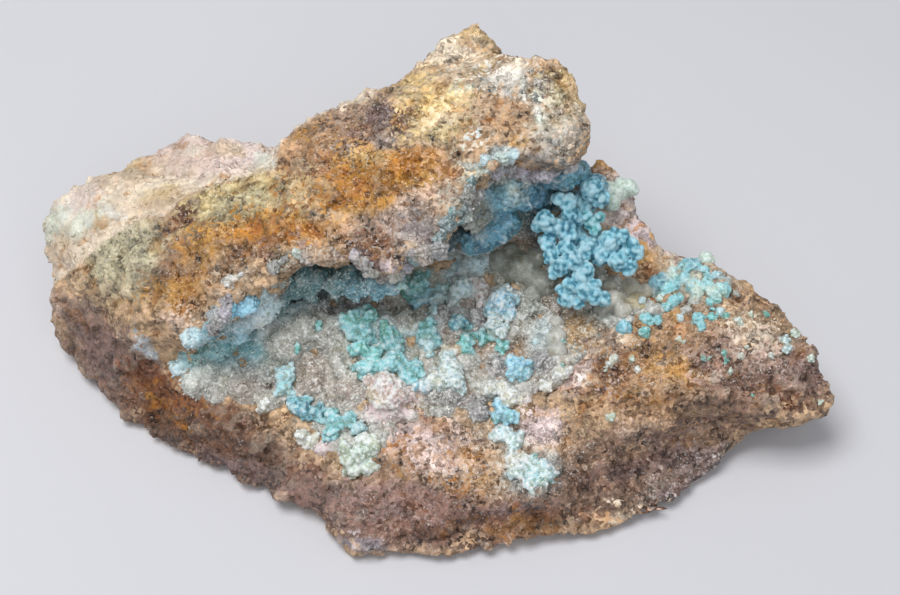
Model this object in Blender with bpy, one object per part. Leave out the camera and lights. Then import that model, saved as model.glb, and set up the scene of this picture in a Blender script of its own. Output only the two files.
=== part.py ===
"""Aurichalcite specimen: a wedge of stained matrix rock with a crystal-lined hollow across its face.

The broken face of the rock slopes at FACE_TILT, so everything on it is laid out in the face's own
frame, in millimetres: `across` to the right, `up` the slope and `proud` of the mean face. on_face()
turns those into world metres, +Z up. The finished rock stands on z = 0 with the origin under the
middle of its extents.

Nodes:
    matrix          the whole rock, grown and broken as one piece
    hollow_crust    the botryoidal crust that lines the hollow, with the coral-like cluster grown on it
    arm_crust       the patch of blue-green plates and balls on the rock's right arm
"""

import math
import random

import bmesh
import bpy
from mathutils import Vector, bvhtree, geometry, noise

MM = 0.001
FACE_TILT = math.radians(40)  # slope of the broken face, which looks up and to the front
FACE_HEIGHT = 18.0  # height of the face frame's origin above the floor, mm
FOOT_HEIGHT = 1.6  # the front edge hangs this far above the floor, mm

MATRIX_VOXEL = 0.85 * MM
CRUST_VOXEL = 0.42 * MM
MATRIX_TRIANGLES = 4300
HOLLOW_TRIANGLES = 4400
ARM_TRIANGLES = 380
CONTACT_GAP = 0.35 * MM  # between the matrix and what grows on it
WELD = 0.002 * MM

# ---- The matrix. The edge of its face, clockwise from the left: (across, up) at one height proud.
EDGE = [
    ("left block", -12.5, [(-54.5, -0.5), (-54, 1.5), (-55, 3.5), (-55.5, 6.5), (-55, 10), (-53.5, 14.5),
                           (-50.5, 15.5), (-47, 16.5), (-43, 18), (-40, 20), (-34, 21.5), (-29, 21.5)]),
    ("gap", -11, [(-24.5, 20.5)]),
    ("crest", -1, [(-21.5, 20.5), (-19, 22), (-16.5, 23), (-13.5, 25), (-10.5, 26.5)]),
    ("peak", -8, [(-6.5, 28.5), (-5, 30.5), (-3.5, 33), (-2, 35.5), (1.5, 36.5), (4, 36.5), (5, 35),
                  (6, 32)]),
    ("nose", 3.5, [(9, 30), (11.5, 29.5), (13, 28), (15, 25.5), (16.5, 22.5), (17, 20), (16.5, 17.5)]),
    ("wall", -8, [(19, 18.5), (20.5, 18), (22, 16.5), (23.5, 14), (24, 12.5), (26.5, 9.5), (28, 7),
                  (31.5, 5)]),
    ("arm back", -5, [(33.5, 6), (35.5, 5), (36.5, 3), (39.5, 2), (42, -0.5), (44, -3)]),
    ("arm tip", -0.5, [(46, -5), (47.5, -8.5), (48.5, -11.5), (49.5, -13), (49, -14.5), (46.5, -16.5),
                       (43, -16.5), (40.5, -17.5)]),
]
# The edge goes on along the front at FOOT_HEIGHT, from the arm back to the left block.
FOOT_EDGE = [
    (39, -19), (36, -21), (33, -23.5), (30.5, -26), (28, -28), (25, -28.5), (22, -28.5), (19, -29),
    (16, -30), (13.5, -31), (11.5, -31.5), (6, -32), (0, -33), (-3, -33), (-6, -33), (-11.5, -31.5),
    (-14.5, -29.5), (-16.5, -28), (-20, -27), (-22.5, -25.5), (-24, -23.5), (-27, -23), (-30, -21.5),
    (-33.5, -20.5), (-38.5, -18.5), (-44, -15), (-47.5, -12.5), (-51, -9.5), (-54, -6.5), (-56, -3),
]
# Creases of the face, as (across, up, proud).
LIP = [
    (-38, -5.5, 1), (-34.5, -6, 2), (-31, -5, 3), (-28.5, -4, 4), (-26.5, -2, 5), (-26, 1, 6),
    (-23, 1.5, 6.5), (-20.5, 3.5, 7), (-17, 5, 8), (-14.5, 3.5, 8.5), (-12, 5, 8.5), (-9.5, 3, 9),
    (-6.5, 2.5, 9), (-4.5, 4, 8.5), (-2, 5, 8.5), (-1, 7, 8.5), (0, 9, 8.5), (2, 11.5, 8), (4, 14.5, 8),
    (6.5, 16.5, 7.5), (11, 17, 7), (13.5, 15.5, 6), (16, 16, 5),
]
RIM = [
    (-35.5, -9.5, -3), (-32, -13, -2.5), (-27, -14, -2), (-21, -14.5, -1), (-17.5, -18.5, 0),
    (-12.5, -22.5, 1.5), (-8, -18.5, 2), (-3, -15.5, 1.5), (4, -16.5, 1.5), (10, -14.5, 0.5),
    (15.5, -10.5, 0), (18, -6, -2), (25, -2.5, -4),
]
ARM_EDGE = [(14, -15.5, 2), (19, -14, 2.5), (24.5, -13, 3), (30.5, -12.5, 3), (36.5, -13, 2.5),
            (41.5, -14, 2)]
SHELF = [(-6, -28.5, 6.5), (0, -28, 6.5), (5, -26, 6.5), (8.5, -26, 6.5), (12.5, -25.5, 6),
         (16.5, -23.5, 5)]
BROW = [(-40.5, 9.5, -1.5), (-35.5, 11, 1), (-33, 13, 1), (-27, 15, 1), (-23.5, 16, 1), (-21.5, 18, 1)]
# Heights between the creases, as (across, up, proud).
SPOTS = [
    # the pale left block, behind the brow
    (-45.5, 12, -6), (-39.5, 15.5, -7), (-32.5, 18, -9), (-27, 18, -9), (-50, 9, -8), (-46, 4.5, -4),
    (-51, 1, -8),
    # the ledge between brow and lip, with the nose at its right end
    (-37.5, 5.5, 2), (-30.5, 9, 4), (-24.5, 6, 6), (-31, 0.5, 5), (-37.5, -0.5, 2), (-43.5, -3, -3),
    (-46.5, -0.5, -4), (-18.5, 14.5, 4), (-22.5, 11.5, 4), (-16, 19.5, 3), (-18.5, 8, 7), (-12, 22, 2.5),
    (-8, 24.5, 2), (-12, 12, 7), (-6, 19.5, 4.5), (-6, 10, 8.5), (-1, 14.5, 7.5), (-1.5, 25, 2),
    (4, 26, 2), (6.5, 28.5, 1), (3.5, 19.5, 5.5), (12, 27.5, 3), (10, 20.5, 6), (14.5, 20.5, 6.5),
    # the floor and back wall of the hollow
    (-19.5, -1.5, -5), (-12.5, -3.5, -3.5), (-5, -2, -5), (1.5, -0.5, -7), (7.5, 4.5, -9.5),
    (12.5, 5.5, -10), (18, 3.5, -9), (22.5, 1, -7), (-26, -8.5, -4.5), (-18, -8.5, -2.5), (-10, -10, -0.5),
    (-2.5, -8, -1.5), (6.5, -8.5, -2), (13, -3.5, -4.5), (14.5, 11, -10), (21.5, 11, -9.5),
    # the front, below the rim
    (-43, -7, -5), (-37.5, -12, -4), (-30.5, -16, -1), (-24.5, -18.5, 1), (-18, -23.5, 3), (-13, -27, 5),
    (-6, -22.5, 5), (1, -21.5, 5), (8.5, -21, 4), (13.5, -21.5, 4),
    # the arm and its undercut front
    (27.5, 1.5, -5.5), (33, -0.5, -3.5), (25.5, -6, -1), (33, -6.5, 0.5), (39.5, -6, -0.5), (42, -10, 1),
    (20, -18, 2), (26.5, -16.5, 1), (33, -15, 0.5), (40.5, -15, 0), (19.5, -21.5, 1), (25.5, -19.5, 0),
    (32, -17.5, -2), (20, -25.5, 2.5), (25, -24.5, 1),
]
CLIFF_RUN = 1.0  # the hollow's wall comes down this far below the lip, mm
CLIFF_FOOT = -7.0  # how deep the wall's foot lies at most, mm proud
SHELF_RUN = 1.2  # the recess under the front shelf starts this far below its edge, mm
SHELF_DROP = 2.2  # and lies this much deeper, mm

UNDERCUT_START = 3  # the overhang begins at this point of the lip
UNDERCUT_RADIUS = 4.6  # mm

# Behind its visible edge the rock falls to the floor in steps: (share of the fall, share of the taper).
BACK_STEPS = [(0.3, 0.1), (0.7, 0.5), (1.0, 1.0)]
BACK_SPREAD = 0.45  # the back slopes outwards by this much for each unit of fall
FRONT_SPREAD = 1.15  # and the front slopes inwards, beneath its own edge, by this much
TAPER = 0.16  # the base is this much smaller than the edge above it
ARM_TAPER = 0.5  # and beneath the arm, which overhangs, by this much more
LEFT_TAPER = 0.1
CORE = Vector((-2, 6)) * MM  # the point that the base tapers towards, in plan

# The scoops that the rock broke along: (size, depth on the face, depth on the hidden sides).
BREAKS = [
    (17.0 * MM, 0.6 * MM, 3.6 * MM),
    (8.0 * MM, 1.3 * MM, 2.2 * MM),
    (4.0 * MM, 0.9 * MM, 1.0 * MM),
    (2.1 * MM, 0.45 * MM, 0.4 * MM),
]
HUMMOCKS = (7.0 * MM, 0.4 * MM)  # size and height of the rounder swells

# ---- What grows on the matrix. Balls are (across, up, radius), in millimetres, and sit on the rock
# straight below them unless a fourth value says how proud their centre is.
HOLLOW_AREA = [
    (-36, -7.5), (-31, -4.5), (-26, -1), (-20, 4), (-14, 5), (-6, 3), (-1, 6), (3, 12), (7, 16), (13, 15.5),
    (17.5, 16.5), (19.5, 13), (19, 8), (21, 3), (25.5, 1), (26, -3), (20, -4.5), (15.5, -9), (9, -14),
    (3, -15), (-4, -14.5), (-9, -19), (-12.5, -22), (-17, -17.5), (-21, -13.5), (-27, -13), (-32, -12),
]
WALL_AREA = [(-27, -5), (-27, 1), (-20, 2), (10, 2), (17, 1), (17, -8), (5, -8), (-20, -5)]
SKIN_PITCH = 1.9  # spacing of the low mounds that line the hollow, mm
WALL_PITCH = 1.6
SKIN_RADIUS = 1.75
TEAL_MASSES = [
    (7.5, 13.5, 2.9, -1), (9.5, 14.5, 2.2, -1), (5.5, 12.5, 2.3, -1), (3, 7, 1.6, -3.5), (5, 8, 2.0, -3),
    (7, 9.3, 2.0, -3), (8.6, 10.3, 1.5, -3), (0.5, 8.5, 1.6, -3), (4, 12, 1.7, 0), (2.2, 9.9, 1.4, 1),
    (14.5, 15.5, 2.3, -1), (18.5, 14, 1.9, -2.5), (12.5, 13.5, 2.0, -3), (16.3, 16, 1.8, -2),
    (-18.5, 3, 2.3, -3), (-13, 2.3, 1.9, 0.5), (-10.8, 1.7, 1.9, 1), (-8, 1.5, 1.5, 1.5),
    (-21.5, -0.8, 2.3, -3), (-15.5, 1.8, 2.1, -2), (-26.3, -0.8, 1.8, 1.5),
]
FLOOR_LUMPS = [
    (9.5, 3.5, 3.3), (12, 1.5, 2.4), (10.5, 5.5, 1.6), (-3.5, 1, 1.9), (-2, 0.2, 1.8), (0.5, 0.8, 1.8),
    (2.5, -0.5, 2.0), (7, -0.5, 2.3), (8, -4, 2.4), (6, -4, 1.5), (1, -3, 1.3), (-0.5, -1.7, 1.2),
    (13, -4.5, 2.1), (13.5, -7, 1.5), (-20.5, -6, 2.7), (-15.5, -6, 2.6), (-27.5, -10.6, 2.8),
    (-16, -11, 2.1), (-8.5, -11.5, 2.2), (6.5, -12.5, 1.8), (0.5, -10, 1.8), (-11.8, -20, 1.8),
    (-10, -18, 1.3), (-33, -8.5, 1.7), (-31, -7.2, 2.0), (-28.8, -6.2, 2.3), (-26, -5, 2.3),
    (-23.5, -3.8, 2.1), (23.5, -0.5, 2.3), (20.5, -1.5, 1.9), (22, 0.8, 1.7),
]
SMALL_BALLS = [
    (-3, -5, 1.2), (2, -6, 1), (3.7, -5.2, 1), (0.3, -7.3, 1.3), (8, -8, 1), (9, -9.5, 1.4),
    (-5, -9.8, 1.4), (-2.4, -11.2, 1.3), (-11.7, -3, 1.2), (-10.1, -2.8, 1), (-11, -4.6, 1.2),
    (-11.3, -6.3, 0.9), (-7.9, -4.4, 1.1), (-6.5, -6.3, 1.1), (-7, -8.3, 1.3), (-11, -9, 1.2),
    (-9.4, -9.4, 1), (-21, -11.3, 1.2), (-20.4, -9.9, 0.9), (-19.3, -14.3, 1.3), (-17.2, -15, 1.1),
    (-14.2, -16, 1.2), (-15, -17.4, 1.2), (-12.2, -16.2, 1), (7, -14.4, 1.2), (22.5, -4, 1.1),
    (24.5, -3.5, 1.1),
]
# The coral-like cluster stands clear of the wall on a short trunk: three boughs of small knobs.
CLUSTER = [
    (17, 12, 1.9, -4), (15.5, 9.5, 1.7, -4), (16.5, 7, 1.9, -4.5), (19, 6.5, 1.7, -4), (16.5, 3.5, 1.8, -4),
    (12.2, 9.9, 1.5, -1.8), (13.6, 9, 1.2, -2.5), (15, 12.1, 1.3, -1), (15.3, 10.8, 1.3, -1),
    (15, 9, 1.1, -2), (18.2, 13.8, 1.7, -1), (19.3, 12.6, 1.3, -1.5), (18, 9.6, 1.1, -3),
    (20.4, 7.2, 1.5, -1.5), (22, 7.7, 1.1, -1.5), (19.3, 5.3, 1.5, -2), (21.6, 4.6, 1.5, -1.5),
    (23.7, 5.8, 1.2, -1.5), (22.8, 3.9, 1.2, -1.5), (17.4, 5.9, 1.5, -2), (14.8, 6.2, 1.3, -1.5),
    (12.9, 5.2, 1.2, -1.5), (14, 3.9, 1.3, -1), (15.7, 4.7, 1.3, -1), (17.2, 3.4, 1.3, -1.5),
    (16.6, 2.4, 1.3, -1), (15.2, 1.4, 1.3, -1), (14.8, -0.2, 1.2, -1.5), (17.2, 0.8, 1.4, -1),
    (18.4, 0.3, 1.2, -1), (19.6, -0.2, 1.1, -1.2), (16.4, -0.5, 1.1, -1.5), (12.5, 7.3, 1.1, -2.5),
    (15.2, 7.8, 1.2, -2),
]
ARM_PATCH = [
    (26.5, 1.7, 1.7), (28.3, 2.9, 1.6), (30, 3.6, 1.6), (32, 3.6, 1.5), (33.8, 2.8, 1.4), (33, 1.5, 1.4),
    (31, 1.3, 1.6), (29, 0.5, 1.6), (31.5, -0.7, 1.5), (33.3, -0.6, 1.3), (32, -2.2, 1.4),
    (30.3, -2, 1.4), (27.5, -0.6, 1.4), (29.8, -0.6, 1.4), (28.9, 1.8, 1.4), (35, 1.2, 1.2),
]

# Base colour and roughness of each node.
FINISHES = {
    "matrix": ((0.50, 0.34, 0.22), 0.85),
    "hollow_crust": ((0.24, 0.46, 0.45), 0.55),
    "arm_crust": ((0.33, 0.55, 0.48), 0.6),
}


def on_face(across, up, proud=0.0):
    """The world point, in metres, of a place on the sloping face, in millimetres."""
    tilt_cos, tilt_sin = math.cos(FACE_TILT), math.sin(FACE_TILT)
    return Vector((
        across,
        up * tilt_cos - proud * tilt_sin,
        FACE_HEIGHT + up * tilt_sin + proud * tilt_cos,
    )) * MM


FACE_NORMAL = Vector((0, -math.sin(FACE_TILT), math.cos(FACE_TILT)))
UP_SLOPE = Vector((0, math.cos(FACE_TILT), math.sin(FACE_TILT)))


def proud_at_height(up, height):
    """How far proud a place on the face is when it is `height` mm above the floor."""
    return (height - FACE_HEIGHT - up * math.sin(FACE_TILT)) / math.cos(FACE_TILT)


def smooth_step(low, high, value):
    t = min(1.0, max(0.0, (value - low) / (high - low)))
    return t * t * (3 - 2 * t)


def inside(polygon, x, y):
    """Whether a point lies within the closed polygon."""
    within = False
    for i, (x1, y1) in enumerate(polygon):
        x0, y0 = polygon[i - 1]
        if (y0 > y) != (y1 > y) and x < x0 + (x1 - x0) * (y - y0) / (y1 - y0):
            within = not within
    return within


# ---- Meshes


def new_object(name, mesh):
    obj = bpy.data.objects.new(name, mesh)
    bpy.context.scene.collection.objects.link(obj)
    return obj


def object_from(name, bm):
    """A new object with the bmesh as its mesh."""
    mesh = bpy.data.meshes.new(name)
    bm.to_mesh(mesh)
    bm.free()
    return new_object(name, mesh)


def bake(obj):
    """Applies the object's modifiers to its mesh."""
    graph = bpy.context.evaluated_depsgraph_get()
    old = obj.data
    obj.data = bpy.data.meshes.new_from_object(obj.evaluated_get(graph))
    obj.modifiers.clear()
    bpy.data.meshes.remove(old)
    return obj


def remesh(obj, voxel):
    modifier = obj.modifiers.new("Remesh", "REMESH")
    modifier.mode = "VOXEL"
    modifier.voxel_size = voxel
    return bake(obj)


def triangle_count(mesh):
    return sum(len(polygon.vertices) - 2 for polygon in mesh.polygons)


def reduce_to(obj, triangles, group=""):
    """Collapses edges, of the group alone if one is named, until about that many triangles are left."""
    modifier = obj.modifiers.new("Decimate", "DECIMATE")
    modifier.ratio = min(1.0, triangles / triangle_count(obj.data))
    modifier.vertex_group = group
    return bake(obj)


def cut_away(obj, cutter):
    modifier = obj.modifiers.new("Cut", "BOOLEAN")
    modifier.operation = "DIFFERENCE"
    modifier.solver = "EXACT"
    modifier.object = cutter
    bake(obj)
    bpy.data.objects.remove(cutter)
    return obj


def keep_largest_shell(obj):
    """Deletes every loose shell but the one with the most vertices."""
    bm = bmesh.new()
    bm.from_mesh(obj.data)
    left = set(bm.verts)
    shells = []
    while left:
        stack = [left.pop()]
        shell = set(stack)
        while stack:
            for edge in stack.pop().link_edges:
                for vert in edge.verts:
                    if vert in left:
                        left.discard(vert)
                        shell.add(vert)
                        stack.append(vert)
        shells.append(shell)
    largest = max(shells, key=len)
    crumbs = [v for v in bm.verts if v not in largest]
    bmesh.ops.delete(bm, geom=crumbs, context="VERTS")
    bm.to_mesh(obj.data)
    bm.free()
    return obj


def balls_object(name, balls):
    """One mesh of overlapping balls, each (centre, radius)."""
    bm = bmesh.new()
    for centre, radius in balls:
        made = bmesh.ops.create_icosphere(bm, subdivisions=2, radius=radius)
        bmesh.ops.translate(bm, verts=made["verts"], vec=centre)
    return object_from(name, bm)


def inflated(obj, distance):
    """A copy of the object grown by that distance, to leave a gap around it when it cuts."""
    bm = bmesh.new()
    bm.from_mesh(obj.data)
    places = [v.co + v.normal * distance * min(2.0, v.calc_shell_factor()) for v in bm.verts]
    for vert, place in zip(bm.verts, places):
        vert.co = place
    return object_from("inflated", bm)


# ---- The matrix


def face_outline():
    """The closed edge of the face, as (across, up, proud)."""
    outline = [(a, u, proud) for _, proud, points in EDGE for a, u in points]
    outline += [(a, u, proud_at_height(u, FOOT_HEIGHT)) for a, u in FOOT_EDGE]
    return outline


def cliff_foot():
    """The foot of the hollow's wall, right below the lip."""
    foot = []
    for a, u, proud in LIP:
        depth = max(CLIFF_FOOT, proud - 3.0 - 0.35 * (a + 38.0))
        foot.append((a + 0.5 * CLIFF_RUN, u - CLIFF_RUN, depth))
    return foot


def shelf_foot():
    """The recess right below the front shelf's edge."""
    return [(a + 0.4, u - SHELF_RUN, proud - SHELF_DROP) for a, u, proud in SHELF]


def face_triangles():
    """The face's points in the world, its triangles and the indices of the points on its edge."""
    points = face_outline()
    edge_count = len(points)
    creases = []
    for line in (LIP, cliff_foot(), RIM, ARM_EDGE, SHELF, shelf_foot(), BROW):
        first = len(points)
        points += line
        creases += [(i, i + 1) for i in range(first, len(points) - 1)]
    points += SPOTS
    flat = [Vector((a, u)) for a, u, _ in points]
    _, _, faces, sources, _, _ = geometry.delaunay_2d_cdt(flat, creases, [list(range(edge_count))], 1, 1e-6)
    if any(len(source) != 1 for source in sources):
        raise ValueError("two creases of the face cross")
    places = [on_face(*points[source[0]]) for source in sources]
    order = {source[0]: i for i, source in enumerate(sources)}
    return places, faces, [order[i] for i in range(edge_count)]


def evened(ring, passes):
    """The ring with its notches and horns averaged away, in plan."""
    for _ in range(passes):
        even = []
        for i, point in enumerate(ring):
            mean = (ring[i - 1] + ring[(i + 1) % len(ring)]) / 2
            even.append(Vector((*((point + mean) / 2).xy, point.z)))
        ring = even
    return ring


def back_ring(rim_points, share, taper_share):
    """One ring of the rock's hidden side, a share of the way from the face's edge to the floor."""
    ring = []
    for point in rim_points:
        fall = (point.z + 2.0 * MM) * share
        front = smooth_step(0, -10 * MM, point.y) * smooth_step(14 * MM, 5 * MM, point.z)
        arm = smooth_step(12 * MM, 44 * MM, point.x)
        left = smooth_step(-30 * MM, -56 * MM, point.x)
        taper = taper_share * (TAPER + ARM_TAPER * arm + LEFT_TAPER * left)
        spread = BACK_SPREAD + (FRONT_SPREAD - BACK_SPREAD) * front
        plan = Vector((point.x, point.y + spread * fall))
        plan = CORE + (plan - CORE) * (1 - taper)
        ring.append(Vector((plan.x, plan.y, point.z - fall)))
    return evened(ring, round(6 * share))


def build_matrix_block():
    """The rock as a closed block: the face's facets, a falling back and a base."""
    points, faces, rim = face_triangles()
    bm = bmesh.new()
    verts = [bm.verts.new(p) for p in points]
    for face in faces:
        bm.faces.new([verts[i] for i in face])
    ring = [verts[i] for i in rim]
    rim_points = [points[i] for i in rim]
    for share, taper_share in BACK_STEPS:
        below = [bm.verts.new(p) for p in back_ring(rim_points, share, taper_share)]
        for i, vert in enumerate(ring):
            j = (i + 1) % len(ring)
            bm.faces.new([vert, ring[j], below[j], below[i]])
        ring = below
    bm.faces.new(ring)
    bmesh.ops.recalc_face_normals(bm, faces=bm.faces)
    return object_from("matrix", bm)


def undercut():
    """The cutter that hollows the rock out beneath the overhanging lip."""
    balls = []
    for a, u, _ in LIP[UNDERCUT_START:]:
        deep = -3.5 - 0.05 * a
        radius = (0.8 * UNDERCUT_RADIUS * smooth_step(-34, -16, a) + 1.2) * MM
        balls.append((on_face(a + 0.5, u + 1.7, deep), radius))
        balls.append((on_face(a + 0.5, u - 1.5, deep - 1.0), radius))
    return remesh(balls_object("undercut", balls), MATRIX_VOXEL)


def scoops(point, size, seed):
    """A height, about -0.5 to 0.5, of shallow tilted scoops that meet in ridges, as on broken rock."""
    place = point / size + seed
    _, centres = noise.voronoi(place)
    heights = []
    for centre in centres:
        away = place - centre
        tilt = noise.cell_vector(centre * 7.31) - Vector((0.5, 0.5, 0.5))
        heights.append(away.length_squared + 1.2 * away.dot(tilt))
    return min(heights) - 0.2


def roughen(obj):
    """Breaks the smooth block into scoops and hummocks."""
    mesh = obj.data
    swell_size, swell_height = HUMMOCKS
    moved = []
    for vert in mesh.vertices:
        hidden = smooth_step(0.25, -0.15, vert.normal.dot(FACE_NORMAL))
        height = swell_height * noise.fractal(vert.co / swell_size, 0.9, 2.0, 4)
        for step, (size, on_top, on_side) in enumerate(BREAKS):
            depth = on_top + (on_side - on_top) * hidden
            height += depth * scoops(vert.co, size, Vector((3.7, 1.9, 8.3)) * (step + 1))
        moved.append(vert.co + vert.normal * height)
    for vert, place in zip(mesh.vertices, moved):
        vert.co = place
    mesh.update()


def flatten_base(obj):
    """Cuts the underside to the flat break that the rock stands on."""
    bm = bmesh.new()
    bm.from_mesh(obj.data)
    cut = bmesh.ops.bisect_plane(
        bm, geom=list(bm.verts) + list(bm.edges) + list(bm.faces), dist=1e-7,
        plane_co=(0, 0, 0), plane_no=(0, 0, -1), clear_outer=True,
    )
    edges = [e for e in cut["geom_cut"] if isinstance(e, bmesh.types.BMEdge)]
    bmesh.ops.contextual_create(bm, geom=edges)
    bmesh.ops.triangulate(bm, faces=bm.faces)
    bm.to_mesh(obj.data)
    bm.free()


def build_matrix():
    matrix = build_matrix_block()
    remesh(matrix, MATRIX_VOXEL)
    cut_away(matrix, undercut())
    remesh(matrix, MATRIX_VOXEL)
    roughen(matrix)
    keep_largest_shell(matrix)
    reduce_to(matrix, MATRIX_TRIANGLES)
    flatten_base(matrix)
    return matrix


# ---- What grows on it


def set_balls(rock, balls, sink):
    """World balls for a list: each stands on the rock, sunk by that share of its radius."""
    placed = []
    for a, u, radius, *proud in balls:
        if proud:
            centre = on_face(a, u, proud[0])
        else:
            hit, _, _, _ = rock.ray_cast(on_face(a, u, 30), -FACE_NORMAL)
            centre = hit - FACE_NORMAL * radius * sink * MM
        placed.append((centre, radius * MM))
    return placed


def floor_mounds(rock):
    """Low mounds, in rows, that cover the hollow's floor."""
    mounds = []
    for row in range(-13, 11):
        for step in range(-20, 16):
            a = (step + 0.5 * (row % 2)) * SKIN_PITCH + random.uniform(-0.4, 0.4)
            u = row * SKIN_PITCH * 0.87 + random.uniform(-0.4, 0.4)
            radius = SKIN_RADIUS * random.uniform(0.85, 1.15) * MM
            hit, _, _, _ = rock.ray_cast(on_face(a, u, 2), -FACE_NORMAL)
            if hit is not None and inside(HOLLOW_AREA, a, u):
                mounds.append((hit - FACE_NORMAL * 0.45 * radius, radius))
    return mounds


def wall_mounds(rock):
    """Low mounds on the hollow's wall, beneath the lip."""
    mounds = []
    for step in range(-17, 11):
        for proud in (-6, -4, -2, 0):
            a = step * WALL_PITCH + random.uniform(-0.4, 0.4)
            radius = SKIN_RADIUS * random.uniform(0.85, 1.15) * MM
            hit, _, _, _ = rock.ray_cast(on_face(a, -6, proud), UP_SLOPE)
            if hit is not None and inside(WALL_AREA, a, proud):
                mounds.append((hit - UP_SLOPE * 0.3 * radius, radius))
    return mounds


def thin_buried(obj, rock):
    """Collapses what lies well inside the rock, which is cut away later, and leaves the rest as it is."""
    buried = set()
    for vert in obj.data.vertices:
        place, normal, _, _ = rock.find_nearest(vert.co)
        if (vert.co - place).dot(normal) < -0.3 * MM:
            buried.add(vert.index)
    group = obj.vertex_groups.new(name="buried")
    group.add(list(buried), 1.0, "REPLACE")
    kept = sum(1 for polygon in obj.data.polygons if not buried.issuperset(polygon.vertices))
    reduce_to(obj, 2 * kept + 200, group.name)
    obj.vertex_groups.clear()


def build_crust(name, balls, matrix, rock, triangles):
    """One closed crust: the balls joined, then cut back to stand just clear of the rock."""
    crust = remesh(balls_object(name, balls), CRUST_VOXEL)
    keep_largest_shell(crust)
    thin_buried(crust, rock)
    reduce_to(crust, triangles)
    cut_away(crust, inflated(matrix, CONTACT_GAP))
    keep_largest_shell(crust)
    bm = bmesh.new()
    bm.from_mesh(crust.data)
    bmesh.ops.remove_doubles(bm, verts=bm.verts, dist=WELD)
    bmesh.ops.dissolve_degenerate(bm, edges=bm.edges, dist=WELD)
    bmesh.ops.triangulate(bm, faces=bm.faces)
    bm.to_mesh(crust.data)
    bm.free()
    return crust


# ---- The whole


def paint(obj):
    """Gives the object its own plain material."""
    colour, roughness = FINISHES[obj.name]
    material = bpy.data.materials.new(obj.name)
    material.use_nodes = True
    shader = material.node_tree.nodes["Principled BSDF"]
    shader.inputs["Base Color"].default_value = (*colour, 1)
    shader.inputs["Roughness"].default_value = roughness
    obj.data.materials.clear()
    obj.data.materials.append(material)


def centre_all(objects):
    """Moves all the meshes so that the origin is on the floor under the middle of their extents."""
    points = [vert.co for obj in objects for vert in obj.data.vertices]
    low = Vector(min(p[i] for p in points) for i in range(3))
    high = Vector(max(p[i] for p in points) for i in range(3))
    shift = Vector((-(low.x + high.x) / 2, -(low.y + high.y) / 2, -low.z))
    for obj in objects:
        for vert in obj.data.vertices:
            vert.co += shift
        obj.data.update()


def main():
    for obj in list(bpy.data.objects):
        bpy.data.objects.remove(obj)
    random.seed(11)
    matrix = build_matrix()
    rock = bvhtree.BVHTree.FromObject(matrix, bpy.context.evaluated_depsgraph_get())
    hollow = floor_mounds(rock) + wall_mounds(rock)
    hollow += set_balls(rock, TEAL_MASSES + FLOOR_LUMPS + CLUSTER, 0.1)
    hollow += set_balls(rock, SMALL_BALLS, -0.5)
    arm = set_balls(rock, ARM_PATCH, 0.15)
    parts = [
        matrix,
        build_crust("hollow_crust", hollow, matrix, rock, HOLLOW_TRIANGLES),
        build_crust("arm_crust", arm, matrix, rock, ARM_TRIANGLES),
    ]
    for part in parts:
        paint(part)
    centre_all(parts)


main()
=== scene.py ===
"""Looks of the aurichalcite specimen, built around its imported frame.

The rock's broken face slopes, so what grows on it is laid out in the face's own frame, in
millimetres: `across` to the right, `up` the slope and `proud` of the mean face. Every piece rides on
the root body and keeps its place in its mesh.
"""

import itertools
import logging
import math
import random
from dataclasses import dataclass, replace
from enum import Enum
from typing import Any, Iterable, Optional, Sequence

import bmesh
import bpy
import numpy as np
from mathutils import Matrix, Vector, bvhtree


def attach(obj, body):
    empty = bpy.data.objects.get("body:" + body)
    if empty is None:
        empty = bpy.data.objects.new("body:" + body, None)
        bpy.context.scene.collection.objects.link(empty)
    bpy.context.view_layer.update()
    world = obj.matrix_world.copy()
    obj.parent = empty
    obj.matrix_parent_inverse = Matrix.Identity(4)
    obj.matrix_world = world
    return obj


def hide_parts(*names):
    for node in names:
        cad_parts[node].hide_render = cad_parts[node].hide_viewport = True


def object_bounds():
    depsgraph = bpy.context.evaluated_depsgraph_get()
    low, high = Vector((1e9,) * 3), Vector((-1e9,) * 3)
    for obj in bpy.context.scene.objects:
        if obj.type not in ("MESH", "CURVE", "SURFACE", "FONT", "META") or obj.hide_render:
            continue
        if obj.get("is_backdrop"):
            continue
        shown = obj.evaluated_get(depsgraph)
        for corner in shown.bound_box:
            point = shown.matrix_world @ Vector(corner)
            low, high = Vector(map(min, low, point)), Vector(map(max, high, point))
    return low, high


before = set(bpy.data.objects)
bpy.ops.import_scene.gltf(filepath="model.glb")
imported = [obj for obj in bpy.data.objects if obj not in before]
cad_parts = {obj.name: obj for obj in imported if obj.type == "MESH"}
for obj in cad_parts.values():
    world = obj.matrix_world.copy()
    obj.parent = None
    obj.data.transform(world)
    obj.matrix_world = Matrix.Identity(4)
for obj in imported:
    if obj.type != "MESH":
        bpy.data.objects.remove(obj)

log = logging.getLogger("specimen")

MM = 0.001
Colour = tuple[float, float, float]
Spot = tuple[float, float]


# ---- Places on the face


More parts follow.
